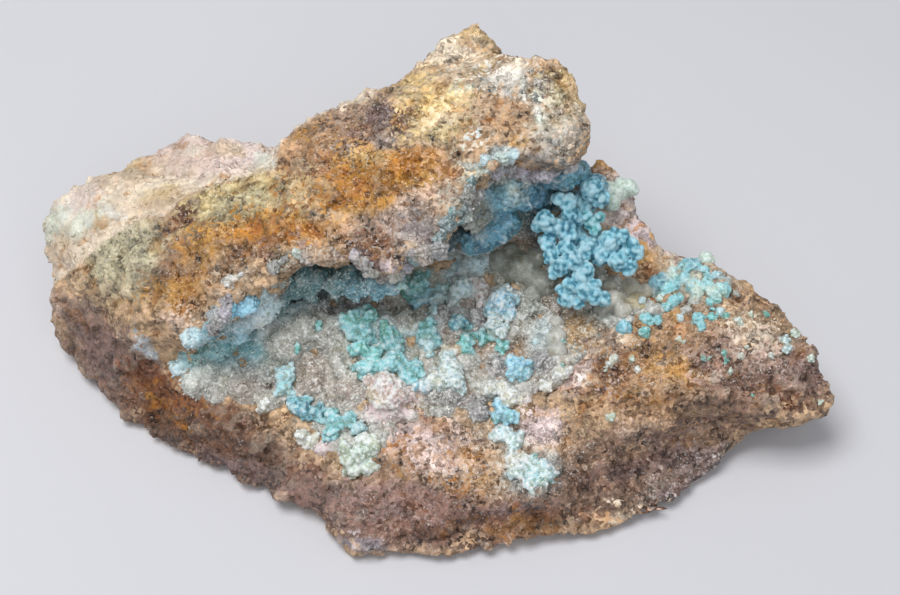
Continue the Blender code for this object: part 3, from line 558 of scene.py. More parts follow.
# Colours of the druse that lines the hollow. The pale ICE and FROST patches on the floor just beneath the
# lip, near across -20 and -5, are painted light that lifts it where the lip's shade falls.
DRUSE_STAINS = stains([
    (HAZE, -29, -9, 8, 4, 25, 0.6), (AQUA, -28.5, -6.4, 8, 3.4, 25, 0.7), (SKY, -27, -4.6, 5, 1.6, 25, 0.5),
    (AQUA, -9, -5, 11, 5, -12, 0.4), (SKY, -20, -4.5, 6, 3, 0, 0.4), (TAUPE, -15, -9.6, 4, 2.4, -20, 0.6),
    (CREAM, -4, -11.5, 5, 1.8, -10, 0.5), (ICE, 3, 0.5, 5, 2.6, 0, 0.5), (LAGOON, -18, 2, 9, 3, 10),
    (TEAL, -14, 2, 6, 1.4, 0, 0.5), (ICE, -19, -2.6, 8, 2.6, 5, 0.8), (ICE, -21, -5.4, 4, 3, 0, 0.5),
    (ICE, -5, -3.8, 6, 2.2, 0, 0.6), (HAZE, 0, -7, 8, 2.6, 0, 0.5), (TAN, -14, -2, 4, 1.2, -10, 0.4),
    (BROWN, -14, -12.8, 5, 0.8, 8, 0.6), (BROWN, -22.5, -11, 1.6, 1.4, -40, 0.7),
    (UMBER, -33.4, -7.8, 1.4, 0.7, 20, 0.8), (TAN, -5, -1.2, 4, 1.2, -20, 0.5), (SMOKE, 7, 4, 7, 3, 0, 0.9),
    (TAN, 9, 6.6, 4, 1.4, 0, 0.6), (BROWN, 13, -1, 3.5, 1.2, -10, 0.6), (TAN, 4, -7, 5.5, 2.2, -10, 0.75),
    (BROWN, 9, -5.6, 2.4, 1, 10, 0.6), (RUST, 2, -13, 3, 2, -50, 0.6), (TAN, 11, -8, 4, 3, 0, 0.6),
    # The NIGHT patches on this line are painted shadow in the dark pocket beneath the lip.
    (OCHRE, 16, -4, 2.2, 2.4, 0, 0.7), (NIGHT, 11, 9, 1.6, 3, 10, 0.9), (NIGHT, -1, 7, 3, 2, 30, 0.4),
    (LAGOON, 9, 12, 8, 3, 10, 0.8), (BLUSH, 20.5, 10, 2.2, 4, 10, 0.8), (BROWN, 23.5, 3.4, 3, 1.4, -30, 0.6),
    (OCHRE, 24, 1.4, 2, 1.2, 0, 0.5), (BLUSH, -8, -14, 4, 1.6, 0, 0.5), (HAZE, -14, -16, 6, 2.6, -25, 0.5),
    (MINT, -18, -5, 2.5, 1.2, 0, 0.5), (ICE, 12, -6, 2.4, 4, 0, 0.5), (BLUSH, 11, -14, 3, 2, 0, 0.7),
    # The FROST patches on this line are painted light where the lip's shade falls.
    (FROST, -19.5, -3.2, 6, 2.4, 5, 0.9), (FROST, -6, -2.6, 6, 1.8, -5, 0.6),
    (ICE, -21, -1.4, 4, 1.2, 20, 0.7), (OLIVE, -3, -7, 3, 1.2, 0, 0.4), (OLIVE, 9, 3, 4, 1.6, 0, 0.35),
    (TAN, -14, -5, 2.4, 1, 0, 0.4), (TAUPE, -16, -8, 4, 2, 0, 0.7), (LAGOON, -31, -7, 3, 1.5, 20, 0.5),
    (BROWN, -20.5, -11.6, 3, 1.2, -20, 0.4), (TAN, -8.5, -8.6, 3, 0.9, 10, 0.45),
])


@dataclass(frozen=True)
class Painter:
    """Lays stains over a piece, in their order, for its points to keep."""

    stains: Sequence[Stain]
    ground: Tone  # between the stains
    hidden: Sequence[Tone] = ()  # of the sides that look away from the face
    swell: float = 3.6  # mm, of what makes the stains' edges ragged
    clouds: Spot = (11.0, 1.5)  # mm, the first hidden cloud's size and how much smaller each next one is
    cloud_edge: Spot = (0.02, 0.3)
    turning: Spot = (0.18, -0.22)  # how far a point faces out where its hidden side starts and is full
    turning_swell: Spot = (5.0, 0.12)  # size, mm, and share that make that edge ragged

    @staticmethod
    def warped(places: np.ndarray, amount: float, size: float, seed: int) -> np.ndarray:
        """Places on the stain plane, pushed about so that the patches get ragged edges.

        Args:
            places: Rows of across, up and proud.
            amount: How far they are pushed, mm.
            size: The size of the swells that push them, mm.
            seed: Chooses the pattern.

        Returns:
            Rows of across and up.
        """
        push = [fractal(places, size, 3, seed + 20 * k, 0.7) for k in range(2)]
        return FACE.sighted(places) + amount * np.column_stack(push)

    def colours(self, places: np.ndarray, facing: np.ndarray, jitter: float, seed: int) -> np.ndarray:
        """The colour at each place.

        Args:
            places: Rows of across, up and proud.
            facing: How far each point looks out of the face, -1 to 1.
            jitter: How ragged the patches are, mm.
            seed: Chooses the raggedness.

        Returns:
            Rows of red, green and blue.
        """
        spots = self.warped(places, jitter, self.swell, seed)
        colour = np.tile(np.array(self.ground.value), (len(places), 1))
        for stain in self.stains:
            colour += (np.array(stain.tone.value) - colour) * stain.cover(spots)[:, None]
        if self.hidden:
            dark = np.tile(np.array(self.hidden[0].value), (len(places), 1))
            for number, tone in enumerate(self.hidden[1:]):
                size = self.clouds[0] - self.clouds[1] * number
                cloud = fractal(places, size, 4, seed + 50 + 9 * number, 0.65)
                dark += (np.array(tone.value) - dark) * smooth_step(*self.cloud_edge, cloud)[:, None]
            edge = facing + self.turning_swell[1] * value_noise(places, self.turning_swell[0], seed + 7)
            colour += (dark - colour) * smooth_step(*self.turning, edge)[:, None]
        return colour


def mask(table: Sequence[Stain], places: np.ndarray, seed: int) -> np.ndarray:
    """How strongly a set of patches covers each place, 0 to 1.

    Args:
        table: The patches.
        places: Rows of across, up and proud.
        seed: Chooses their raggedness.

    Returns:
        One number for each place.
    """
    spots = Painter.warped(places, 2.5, 4.0, seed)
    return np.max([stain.cover(spots) for stain in table], axis=0)


# ---- Meshes


def new_object(name: str, data: bpy.types.ID) -> bpy.types.Object:
    """Makes an object at the origin.

    Args:
        name: Its name.
        data: The mesh, the light or the camera that it is.

    Returns:
        The object.
    """
    obj = bpy.data.objects.new(name, data)
    bpy.context.scene.collection.objects.link(obj)
    return obj


def mesh_of(name: str, bm: bmesh.types.BMesh) -> bpy.types.Mesh:
    """Turns a bmesh, which is freed, into a mesh.

    Args:
        name: The mesh's name.
        bm: The bmesh.

    Returns:
        The mesh.
    """
    mesh = bpy.data.meshes.new(name)
    bm.to_mesh(mesh)
    bm.free()
    return mesh


def bake(obj: bpy.types.Object) -> bpy.types.Object:
    """Turns what the object's modifiers make into its plain mesh.

    Args:
        obj: The object.

    Returns:
        The same object, without modifiers.
    """
    graph = bpy.context.evaluated_depsgraph_get()
    old = obj.data
    obj.data = bpy.data.meshes.new_from_object(obj.evaluated_get(graph))
    obj.modifiers.clear()
    bpy.data.meshes.remove(old)
    obj.data.name = obj.name
    return obj


def modified(obj: bpy.types.Object, kind: str, **settings: Any) -> bpy.types.Object:
    """Turns what one modifier makes of the object into its plain mesh.

    Args:
        obj: The object.
        kind: The modifier's type.
        **settings: Its settings.

    Returns:
        The same object.
    """
    modifier = obj.modifiers.new(kind.title(), kind)
    for name, value in settings.items():
        setattr(modifier, name, value)
    return bake(obj)


def remesh(obj: bpy.types.Object, voxel: float) -> bpy.types.Object:
    """Gives the object an even skin, as fine as the voxel in millimetres."""
    return modified(obj, "REMESH", mode="VOXEL", voxel_size=voxel * MM)


def eased(obj: bpy.types.Object, passes: int) -> bpy.types.Object:
    """Evens out the object's skin: each point moves towards its neighbours that many times."""
    return modified(obj, "SMOOTH", factor=0.5, iterations=passes)


def triangles(mesh: bpy.types.Mesh) -> int:
    """How many triangles the mesh has."""
    return sum(len(polygon.vertices) - 2 for polygon in mesh.polygons)


def rows_of(items: bpy.types.bpy_prop_collection, label: str) -> np.ndarray:
    """One property of many items.

    Args:
        items: The items.
        label: The property's name.

    Returns:
        Rows of three numbers.
    """
    flat = np.empty(len(items) * 3)
    items.foreach_get(label, flat)
    return flat.reshape(-1, 3)


def read_points(mesh: bpy.types.Mesh) -> np.ndarray:
    """The mesh's points as rows of metres."""
    return rows_of(mesh.vertices, "co")


def read_normals(mesh: bpy.types.Mesh) -> np.ndarray:
    """The direction in which each of the mesh's points looks."""
    return rows_of(mesh.vertex_normals, "vector")


def write_points(mesh: bpy.types.Mesh, points: np.ndarray) -> None:
    """Moves the mesh's points to rows of metres."""
    mesh.vertices.foreach_set("co", points.ravel())
    mesh.update()


def keep_colour(mesh: bpy.types.Mesh, name: str, colours: np.ndarray) -> None:
    """Stores a colour for each point under that name."""
    layer = mesh.attributes.new(name, "FLOAT_COLOR", "POINT")
    layer.data.foreach_set("color", np.column_stack((np.clip(colours, 0, 1), np.ones(len(colours)))).ravel())


def keep_number(mesh: bpy.types.Mesh, name: str, numbers: np.ndarray) -> None:
    """Stores a number for each point under that name."""
    layer = mesh.attributes.new(name, "FLOAT", "POINT")
    layer.data.foreach_set("value", np.asarray(numbers, dtype=float))


def drop_crumbs(obj: bpy.types.Object, smallest: int = 60) -> None:
    """Deletes loose crumbs.

    Args:
        obj: The object.
        smallest: How many points a shell must have to stay.
    """
    bm = bmesh.new()
    bm.from_mesh(obj.data)
    left, crumbs = set(bm.verts), []
    while left:
        stack = [left.pop()]
        shell = list(stack)
        while stack:
            for edge in stack.pop().link_edges:
                for vert in edge.verts:
                    if vert in left:
                        left.discard(vert)
                        shell.append(vert)
                        stack.append(vert)
        if len(shell) < smallest:
            crumbs += shell
    bmesh.ops.delete(bm, geom=crumbs, context="VERTS")
    bm.to_mesh(obj.data)
    bm.free()


# ---- Node trees

Socket = bpy.types.NodeSocket
FLOAT, VECTOR, RGBA = "NodeSocketFloat", "NodeSocketVector", "NodeSocketColor"


class Wiring:
    """Adds and joins the nodes of one tree."""

    def __init__(self, tree: bpy.types.NodeTree) -> None:
        """Starts on a tree."""
        self.tree = tree

    def feed(self, made: bpy.types.Node, inputs: dict) -> bpy.types.Node:
        """Sets a node's inputs.

        Args:
            made: The node.
            inputs: Socket name or number to a value or to the socket that feeds it.

        Returns:
            The node.
        """
        for name, value in inputs.items():
            if isinstance(value, Socket):
                self.tree.links.new(value, made.inputs[name])
            else:
                made.inputs[name].default_value = value
        return made

    def node(self, kind: str, inputs: Optional[dict] = None, **settings: Any) -> bpy.types.Node:
        """Adds a node.

        Args:
            kind: Its type.
            inputs: Socket name or number to a value or to the socket that feeds it.
            **settings: Its other settings.

        Returns:
            The node.
        """
        made = self.tree.nodes.new(kind)
        for name, value in settings.items():
            setattr(made, name, value)
        return self.feed(made, inputs or {})

    def math(self, operation: str, *values: Any, clamp: bool = False) -> Socket:
        """The result of a Math node on numbers or sockets."""
        inputs = dict(enumerate(values))
        return self.node("ShaderNodeMath", inputs, operation=operation, use_clamp=clamp).outputs[0]

    def vector(self, operation: str, *values: Any) -> Socket:
        """The result of a Vector Math node; a dot product comes out as a number."""
        made = self.node("ShaderNodeVectorMath", dict(enumerate(values)), operation=operation)
        return made.outputs["Value" if operation == "DOT_PRODUCT" else "Vector"]

    def stretched(self, vector: Socket, scale: Socket) -> Socket:
        """The vector times a number."""
        return self.node("ShaderNodeVectorMath", {0: vector, "Scale": scale}, operation="SCALE").outputs[0]

    def mix(self, factor: Any, a: Any, b: Any, blend: str = "MIX") -> Socket:
        """A mix of two colours.

        Args:
            factor: How much of the second.
            a: The first colour.
            b: The second colour.
            blend: How they are blended.

        Returns:
            The mixed colour.
        """
        inputs = {0: factor, 6: a, 7: b}
        return self.node("ShaderNodeMix", inputs, data_type="RGBA", blend_type=blend).outputs[2]

    def eased(self, value: Any, low: float, high: float, to_low: float = 0.0, to_high: float = 1.0) -> Socket:
        """A number mapped with an eased change from one range to another."""
        inputs = {0: value, 1: low, 2: high, 3: to_low, 4: to_high}
        return self.node("ShaderNodeMapRange", inputs, interpolation_type="SMOOTHSTEP").outputs[0]

    def cloud(self, place: Socket, detail: float, roughness: float = 0.5, scale: float = 1.0,
              distortion: float = 0.0) -> Socket:
        """The value of a Noise Texture.

        Args:
            place: Where it is read.
            detail: How many sizes it has.
            roughness: How much each size keeps of the one before.
            scale: Its scale.
            distortion: How far it is warped.

        Returns:
            The value.
        """
        return self.node("ShaderNodeTexNoise", {
            "Vector": place, "Scale": scale, "Detail": detail, "Roughness": roughness,
            "Distortion": distortion}).outputs["Fac"]


def rgba(tone: Any) -> tuple[float, float, float, float]:
    """A tone or a plain colour with full cover."""
    return (*(tone.value if isinstance(tone, Tone) else tone), 1.0)


class NodeGroup(Wiring):
    """A new node group with named sockets."""

    def __init__(self, name: str, kind: str, ins: dict, outs: dict) -> None:
        """Makes it.

        Args:
            name: The group's name.
            kind: ShaderNodeTree or GeometryNodeTree.
            ins: Input name to (socket type, default value).
            outs: Output name to socket type.
        """
        super().__init__(bpy.data.node_groups.new(name, kind))
        for label, (socket_type, value) in ins.items():
            socket = self.tree.interface.new_socket(label, in_out="INPUT", socket_type=socket_type)
            if value is not None:
                socket.default_value = value
        for label, socket_type in outs.items():
            self.tree.interface.new_socket(label, in_out="OUTPUT", socket_type=socket_type)
        self.given = self.node("NodeGroupInput").outputs
        self.out = self.node("NodeGroupOutput")

    def scaled(self, size: str) -> Socket:
        """The given vector divided by the given size."""
        return self.stretched(self.given["Vector"], self.math("DIVIDE", 1.0, self.given[size]))

    def closed(self, outputs: dict) -> bpy.types.NodeTree:
        """Feeds the group's outputs, and gives its tree."""
        self.feed(self.out, outputs)
        return self.tree


class Effects:
    """The shader node groups that the finishes share."""

    lucky_share: float = 0.6  # how much a grain's own number sways which stain it shows
    showing: Spot = (0.78, 1.0)  # where the far stain starts to show, and where it alone does
    drift: Spot = (0.38, 3.6)  # scale of the wide drift of shade against a patch, and its weight
    middle: float = 2.57  # what all the swings of shade come to on average

    def __init__(self) -> None:
        """Builds each group once."""
        self.grain = self._grain()
        self.weave = self._weave()
        self.flecks = self._flecks()
        self.speckle = self._speckle()

    @staticmethod
    def _grain() -> bpy.types.NodeTree:
        """Angular grains: each a flat facet with its own tilt and its own random number.

        Returns:
            The group's tree.
        """
        w = NodeGroup("Angular grain", "ShaderNodeTree", {"Vector": (VECTOR, None), "Size": (FLOAT, 0.0005)},
                      {"Height": FLOAT, "Random": FLOAT})
        place = w.scaled("Size")
        cell = w.node("ShaderNodeTexVoronoi", {"Vector": place, "Scale": 1.0}).outputs
        away = w.vector("SUBTRACT", place, cell["Position"])
        tilt = w.vector("SUBTRACT", cell["Color"], (0.5, 0.5, 0.5))
        split = w.node("ShaderNodeSeparateColor", {"Color": cell["Color"]})
        height = w.math("MULTIPLY", w.vector("DOT_PRODUCT", away, tilt), 2.0)
        return w.closed({"Height": height, "Random": split.outputs[0]})

    def _weave(self) -> bpy.types.NodeTree:
        """Lets one stain show through another grain by grain, with lighter and darker grains.

        Returns:
            The group's tree.
        """
        w = NodeGroup("Stain weave", "ShaderNodeTree",
                      {"Near": (RGBA, (1, 1, 1, 1)), "Far": (RGBA, (1, 1, 1, 1)), "Vector": (VECTOR, None),
                       "Patch": (FLOAT, 0.001), "Random": (FLOAT, 0.5), "Fine": (FLOAT, 0.5),
                       "Spread": (FLOAT, 0.3)}, {"Color": RGBA})
        g, place = w.given, w.scaled("Patch")
        tossed = w.math("MULTIPLY_ADD", g["Random"], self.lucky_share, w.cloud(place, 4.0, 0.65))
        colour = w.mix(w.eased(tossed, *self.showing), g["Near"], g["Far"])
        both = w.math("MULTIPLY_ADD", g["Fine"], 0.5, g["Random"])
        both = w.math("MULTIPLY_ADD", w.cloud(place, 3.0, 0.6, self.drift[0]), self.drift[1], both)
        swing = w.math("MULTIPLY", w.math("SUBTRACT", both, self.middle), g["Spread"])
        shade = w.math("ADD", swing, 1.0)
        tone = w.node("ShaderNodeHueSaturation", {"Color": colour, "Value": shade})
        return w.closed({"Color": tone.outputs[0]})

    @staticmethod
    def _flecks() -> bpy.types.NodeTree:
        """Scattered flecks of another colour.

        Returns:
            The group's tree.
        """
        w = NodeGroup("Flecks", "ShaderNodeTree",
                      {"Color": (RGBA, (1, 1, 1, 1)), "Fleck": (RGBA, (1, 1, 1, 1)), "Vector": (VECTOR, None),
                       "Size": (FLOAT, 0.001), "Amount": (FLOAT, 0.5), "Edge": (FLOAT, 14.0)},
                      {"Color": RGBA})
        cloud = w.cloud(w.scaled("Size"), 5.0, 0.7, distortion=0.6)
        level = w.math("MULTIPLY_ADD", w.given["Amount"], -0.2, 0.72)
        cover = w.math("MULTIPLY", w.math("SUBTRACT", cloud, level), w.given["Edge"], clamp=True)
        return w.closed({"Color": w.mix(cover, w.given["Color"], w.given["Fleck"])})

    @staticmethod
    def _speckle() -> bpy.types.NodeTree:
        """A fine uneven crumb, for the height of a bump.

        Returns:
            The group's tree.
        """
        w = NodeGroup("Fine crumb", "ShaderNodeTree", {"Vector": (VECTOR, None), "Size": (FLOAT, 0.0003)},
                      {"Height": FLOAT})
        return w.closed({"Height": w.cloud(w.scaled("Size"), 3.0, 0.6)})


# ---- Finishes


@dataclass(frozen=True)
class Glow:
    """How light spreads within a finish."""

    share: float
    tint: Colour  # how far each colour gets against the reach
    reach: float  # mm


class Coat(Wiring):
    """The wiring of one material, with what every finish of the specimen starts from."""

    def __init__(self, name: str, effects: Effects) -> None:
        """Makes the material.

        Args:
            name: Its name.
            effects: The shared node groups.
        """
        self.material = bpy.data.materials.new(name)
        self.material.use_nodes = True
        super().__init__(self.material.node_tree)
        self.effects = effects
        self.shader = self.tree.nodes["Principled BSDF"]
        self.place = self.node("ShaderNodeTexCoord").outputs["Object"]

    def kept(self, name: str, kind: str = "Fac") -> Socket:
        """What the piece's points keep under that name."""
        return self.node("ShaderNodeAttribute", attribute_name=name).outputs[kind]

    def group(self, tree: bpy.types.NodeTree, inputs: dict) -> bpy.types.NodeOutputs:
        """The outputs of a shared effect laid on the material's own places."""
        return self.node("ShaderNodeGroup", {"Vector": self.place, **inputs}, node_tree=tree).outputs

    def grain(self, size: float) -> bpy.types.NodeOutputs:
        """Angular grains of that size in millimetres."""
        return self.group(self.effects.grain, {"Size": size * MM})

    def crumb(self, size: float) -> Socket:
        """The height of a fine crumb of that size in millimetres."""
        return self.group(self.effects.speckle, {"Size": size * MM})["Height"]

    def stained(self, patch: float, lucky: Socket, spread: Any, fine: Any = 0.5) -> Socket:
        """The piece's two sets of stains, woven.

        Args:
            patch: The clumps in which one shows through the other, mm.
            lucky: Each grain's random number.
            spread: How unequal the grains' shades are.
            fine: Each fine grain's random number.

        Returns:
            The colour.
        """
        return self.group(self.effects.weave, {
            "Near": self.kept("stain", "Color"), "Far": self.kept("stain_far", "Color"), "Patch": patch * MM,
            "Random": lucky, "Fine": fine, "Spread": spread})["Color"]

    def tinted(self, colour: Socket, tint: Colour, factor: Any) -> Socket:
        """The colour, multiplied by a tint as far as the factor says."""
        return self.mix(factor, colour, self.mix(1.0, colour, rgba(tint), "MULTIPLY"))

    def dressed(self, colour: Socket, gloss: Socket, height: Socket, relief: float,
                glow: Glow) -> bpy.types.Material:
        """Puts it all on the shader.

        Args:
            colour: Its base colour.
            gloss: Its roughness.
            height: The height of its bumps.
            relief: How high they are, mm.
            glow: How light spreads within.

        Returns:
            The material.
        """
        bump = self.node("ShaderNodeBump", {"Height": height, "Distance": relief * MM, "Strength": 1.0})
        self.feed(self.shader, {
            "Base Color": colour, "Roughness": gloss, "Normal": bump.outputs[0],
            "Subsurface Weight": glow.share, "Subsurface Radius": glow.tint,
            "Subsurface Scale": glow.reach * MM})
        return self.material


@dataclass(frozen=True)
class RockFinish:
    """Stained, sugary rock: each grain with its own shade, tilt and gloss."""

    name: str = "stained rock"
    grain: float = 0.5  # mm
    fine_grain: float = 0.22  # mm
    crumb: float = 0.3  # mm
    patch: float = 1.0  # mm, the clumps in which one stain shows through another
    spread: float = 0.74
    relief: float = 0.17  # mm, of the grains
    gloss: Spot = (0.14, 0.72)
    flecks: tuple = (  # tone, size in mm, hardness and share of the iron's cover
        (OCHRE, 3.2, 5.0, 1.0), (ORANGE, 1.5, 7.0, 1.0), (BROWN, 1.2, 9.0, 0.65), (CREAM, 1.8, 9.0, 0.45))
    hollow_stain_and_shade: Colour = (0.78, 0.6, 0.42)  # the tint of what lies low: partly warm staining, partly painted shade
    dark: Colour = (0.6, 0.48, 0.38)  # the tint of the dark grains
    clear: float = 0.28  # how pale the clear grains are
    crest: float = 0.18  # how pale what stands out is: painted highlight
    glow: Glow = Glow(0.2, (1.0, 0.7, 0.5), 0.6)

    def material(self, effects: Effects) -> bpy.types.Material:
        """The finish as a material that reads stain, stain_far, relief, rough, iron and sugar.

        Args:
            effects: The shared node groups.

        Returns:
            The material.
        """
        w = Coat(self.name, effects)
        relief, iron, sugar, rough = map(w.kept, ("relief", "iron", "sugar", "rough"))
        grain, fine = w.grain(self.grain), w.grain(self.fine_grain)
        lucky, keen = grain["Random"], fine["Random"]
        colour = w.stained(self.patch, lucky, w.math("MULTIPLY", rough, self.spread), keen)
        for tone, size, edge, share in self.flecks:
            colour = w.group(effects.flecks, {
                "Color": colour, "Fleck": rgba(tone), "Size": size * MM,
                "Amount": w.math("MULTIPLY", iron, share), "Edge": edge})["Color"]
        # Low places are tinted warmer and darker: partly staining, partly painted shade.
        colour = w.tinted(colour, self.hollow_stain_and_shade, w.eased(relief, 0.45, 0.0))
        darker = w.math("MULTIPLY", w.eased(lucky, 0.2, 0.05), w.eased(iron, 0, 0.45, 0.1, 0.75))
        colour = w.tinted(colour, self.dark, darker)
        clear = w.math("MULTIPLY", w.eased(keen, 0.72, 0.95), w.eased(sugar, 0, 1, 0.15, 1))
        colour = w.mix(w.math("MULTIPLY", clear, self.clear), colour, rgba(FROST))
        # Raised grains are paled towards cream: painted highlight.
        crest = w.math("MULTIPLY", w.eased(relief, 0.6, 1.0), self.crest)
        colour = w.mix(crest, colour, rgba(CREAM))
        gloss = w.eased(keen, 0.1, 0.9, self.gloss[1], self.gloss[0])
        height = w.math("MULTIPLY_ADD", fine["Height"], 0.3, grain["Height"])
        height = w.math("MULTIPLY_ADD", w.crumb(self.crumb), 0.6, height)
        return w.dressed(colour, gloss, height, self.relief, self.glow)


@dataclass(frozen=True)
class DruseFinish:
    """Milky, half-clear druse with bright little facets."""

    name: str = "milky druse"
    grain: float = 0.42  # mm
    fine_share: float = 0.55  # of the fine grains' size in the others'
    crumb: float = 0.25  # mm
    patch: float = 0.9  # mm
    relief: float = 0.1  # mm
    gloss: Spot = (0.12, 0.5)
    subsurface: float = 0.55
    reach: float = 1.2  # mm, how far light spreads within
    glow: Colour = (0.8, 0.9, 1.0)
    spread: float = 0.3
    deep: Colour = (0.74, 0.7, 0.6)  # the tint of what lies low: painted shade
    # How much paler raised parts are: pale frost, partly painted highlight.
    frost_and_highlight: float = 0.35
    specks: float = 0.5  # how pale its clearest grains are

    def material(self, effects: Effects) -> bpy.types.Material:
        """The finish as a material that reads stain, stain_far and relief.

        Args:
            effects: The shared node groups.

        Returns:
            The material.
        """
        w = Coat(self.name, effects)
        relief = w.kept("relief")
        grain, fine = w.grain(self.grain), w.grain(self.fine_share * self.grain)
        colour = w.stained(self.patch, grain["Random"], self.spread, fine["Random"])
        # What lies low is darkened: painted shade.
        colour = w.tinted(colour, self.deep, w.eased(relief, 0.45, 0.05))
        clear = w.math("MULTIPLY", w.eased(fine["Random"], 0.6, 0.95), self.specks)
        # Raised parts are paled towards frost, partly as painted highlight, and so are the clearest grains.
        frosted = w.math("MULTIPLY_ADD", w.eased(relief, 0.5, 1.0), self.frost_and_highlight, clear)
        colour = w.mix(frosted, colour, rgba(FROST))
        gloss = w.eased(grain["Random"], 0.2, 0.9, self.gloss[1], self.gloss[0])
        height = w.math("MULTIPLY_ADD", fine["Height"], 0.35, grain["Height"])
        height = w.math("MULTIPLY_ADD", w.crumb(self.crumb), 0.4, height)
        return w.dressed(colour, gloss, height, self.relief, Glow(self.subsurface, self.glow, self.reach))


@dataclass(frozen=True)
class AurichalciteFinish:
    """Velvety blue-green crust: paler where its nodules stand out, as pale frost and partly painted
    highlight, and darker between them as painted shade.
    """

    name: str = "coral aurichalcite"
    frost: Tone = ICE
    frost_and_highlight: float = 0.54  # how much paler the nodules' tops are: pale frost, partly painted highlight
    crumb: float = 0.13  # mm
    patch: float = 0.6  # mm
    spread: float = 0.3
    relief: float = 0.09  # mm
    roughness: float = 0.6
    deep: Colour = (0.34, 0.52, 0.58)  # the tint between the nodules: painted shade
    glow: Glow = Glow(0.3, (0.6, 0.9, 1.0), 0.8)

    def material(self, effects: Effects) -> bpy.types.Material:
        """The finish as a material that reads stain, stain_far and relief.

        Args:
            effects: The shared node groups.

        Returns:
            The material.
        """
        w = Coat(self.name, effects)
        relief, grain, fuzz = w.kept("relief"), w.grain(2 * self.crumb), w.crumb(self.crumb)
        colour = w.stained(self.patch, grain["Random"], self.spread)
        # Between the nodules the colour is darkened: painted shade.
        colour = w.tinted(colour, self.deep, w.eased(relief, 0.5, 0.0))
        # The nodules' tops are paled: pale frost, partly painted highlight.
        top = w.eased(w.math("MULTIPLY_ADD", fuzz, 0.5, relief), 0.75, 1.35)
        colour = w.mix(w.math("MULTIPLY", top, self.frost_and_highlight), colour, rgba(self.frost))
        gloss = w.eased(grain["Random"], 0.3, 0.95, self.roughness, 0.6 * self.roughness)
        height = w.math("MULTIPLY_ADD", grain["Height"], 0.6, fuzz)
        return w.dressed(colour, gloss, height, self.relief, self.glow)


@dataclass(frozen=True)
class FloorFinish:
    """A plain pale studio floor with the faintest unevenness."""

    name: str = "pale floor"
    light: Colour = linear(206, 206, 209)
    shade: Colour = linear(198, 198, 203)
    roughness: float = 0.85

    def material(self, effects: Effects) -> bpy.types.Material:
        """The finish as a material.

        Args:
            effects: The shared node groups.

        Returns:
            The material.
        """
        w = Coat(self.name, effects)
        colour = w.mix(w.cloud(w.place, 2.0, scale=6.0), rgba(self.light), rgba(self.shade))
        w.feed(w.shader, {"Base Color": colour, "Roughness": self.roughness})
        return w.material


# ---- Geometry node trees


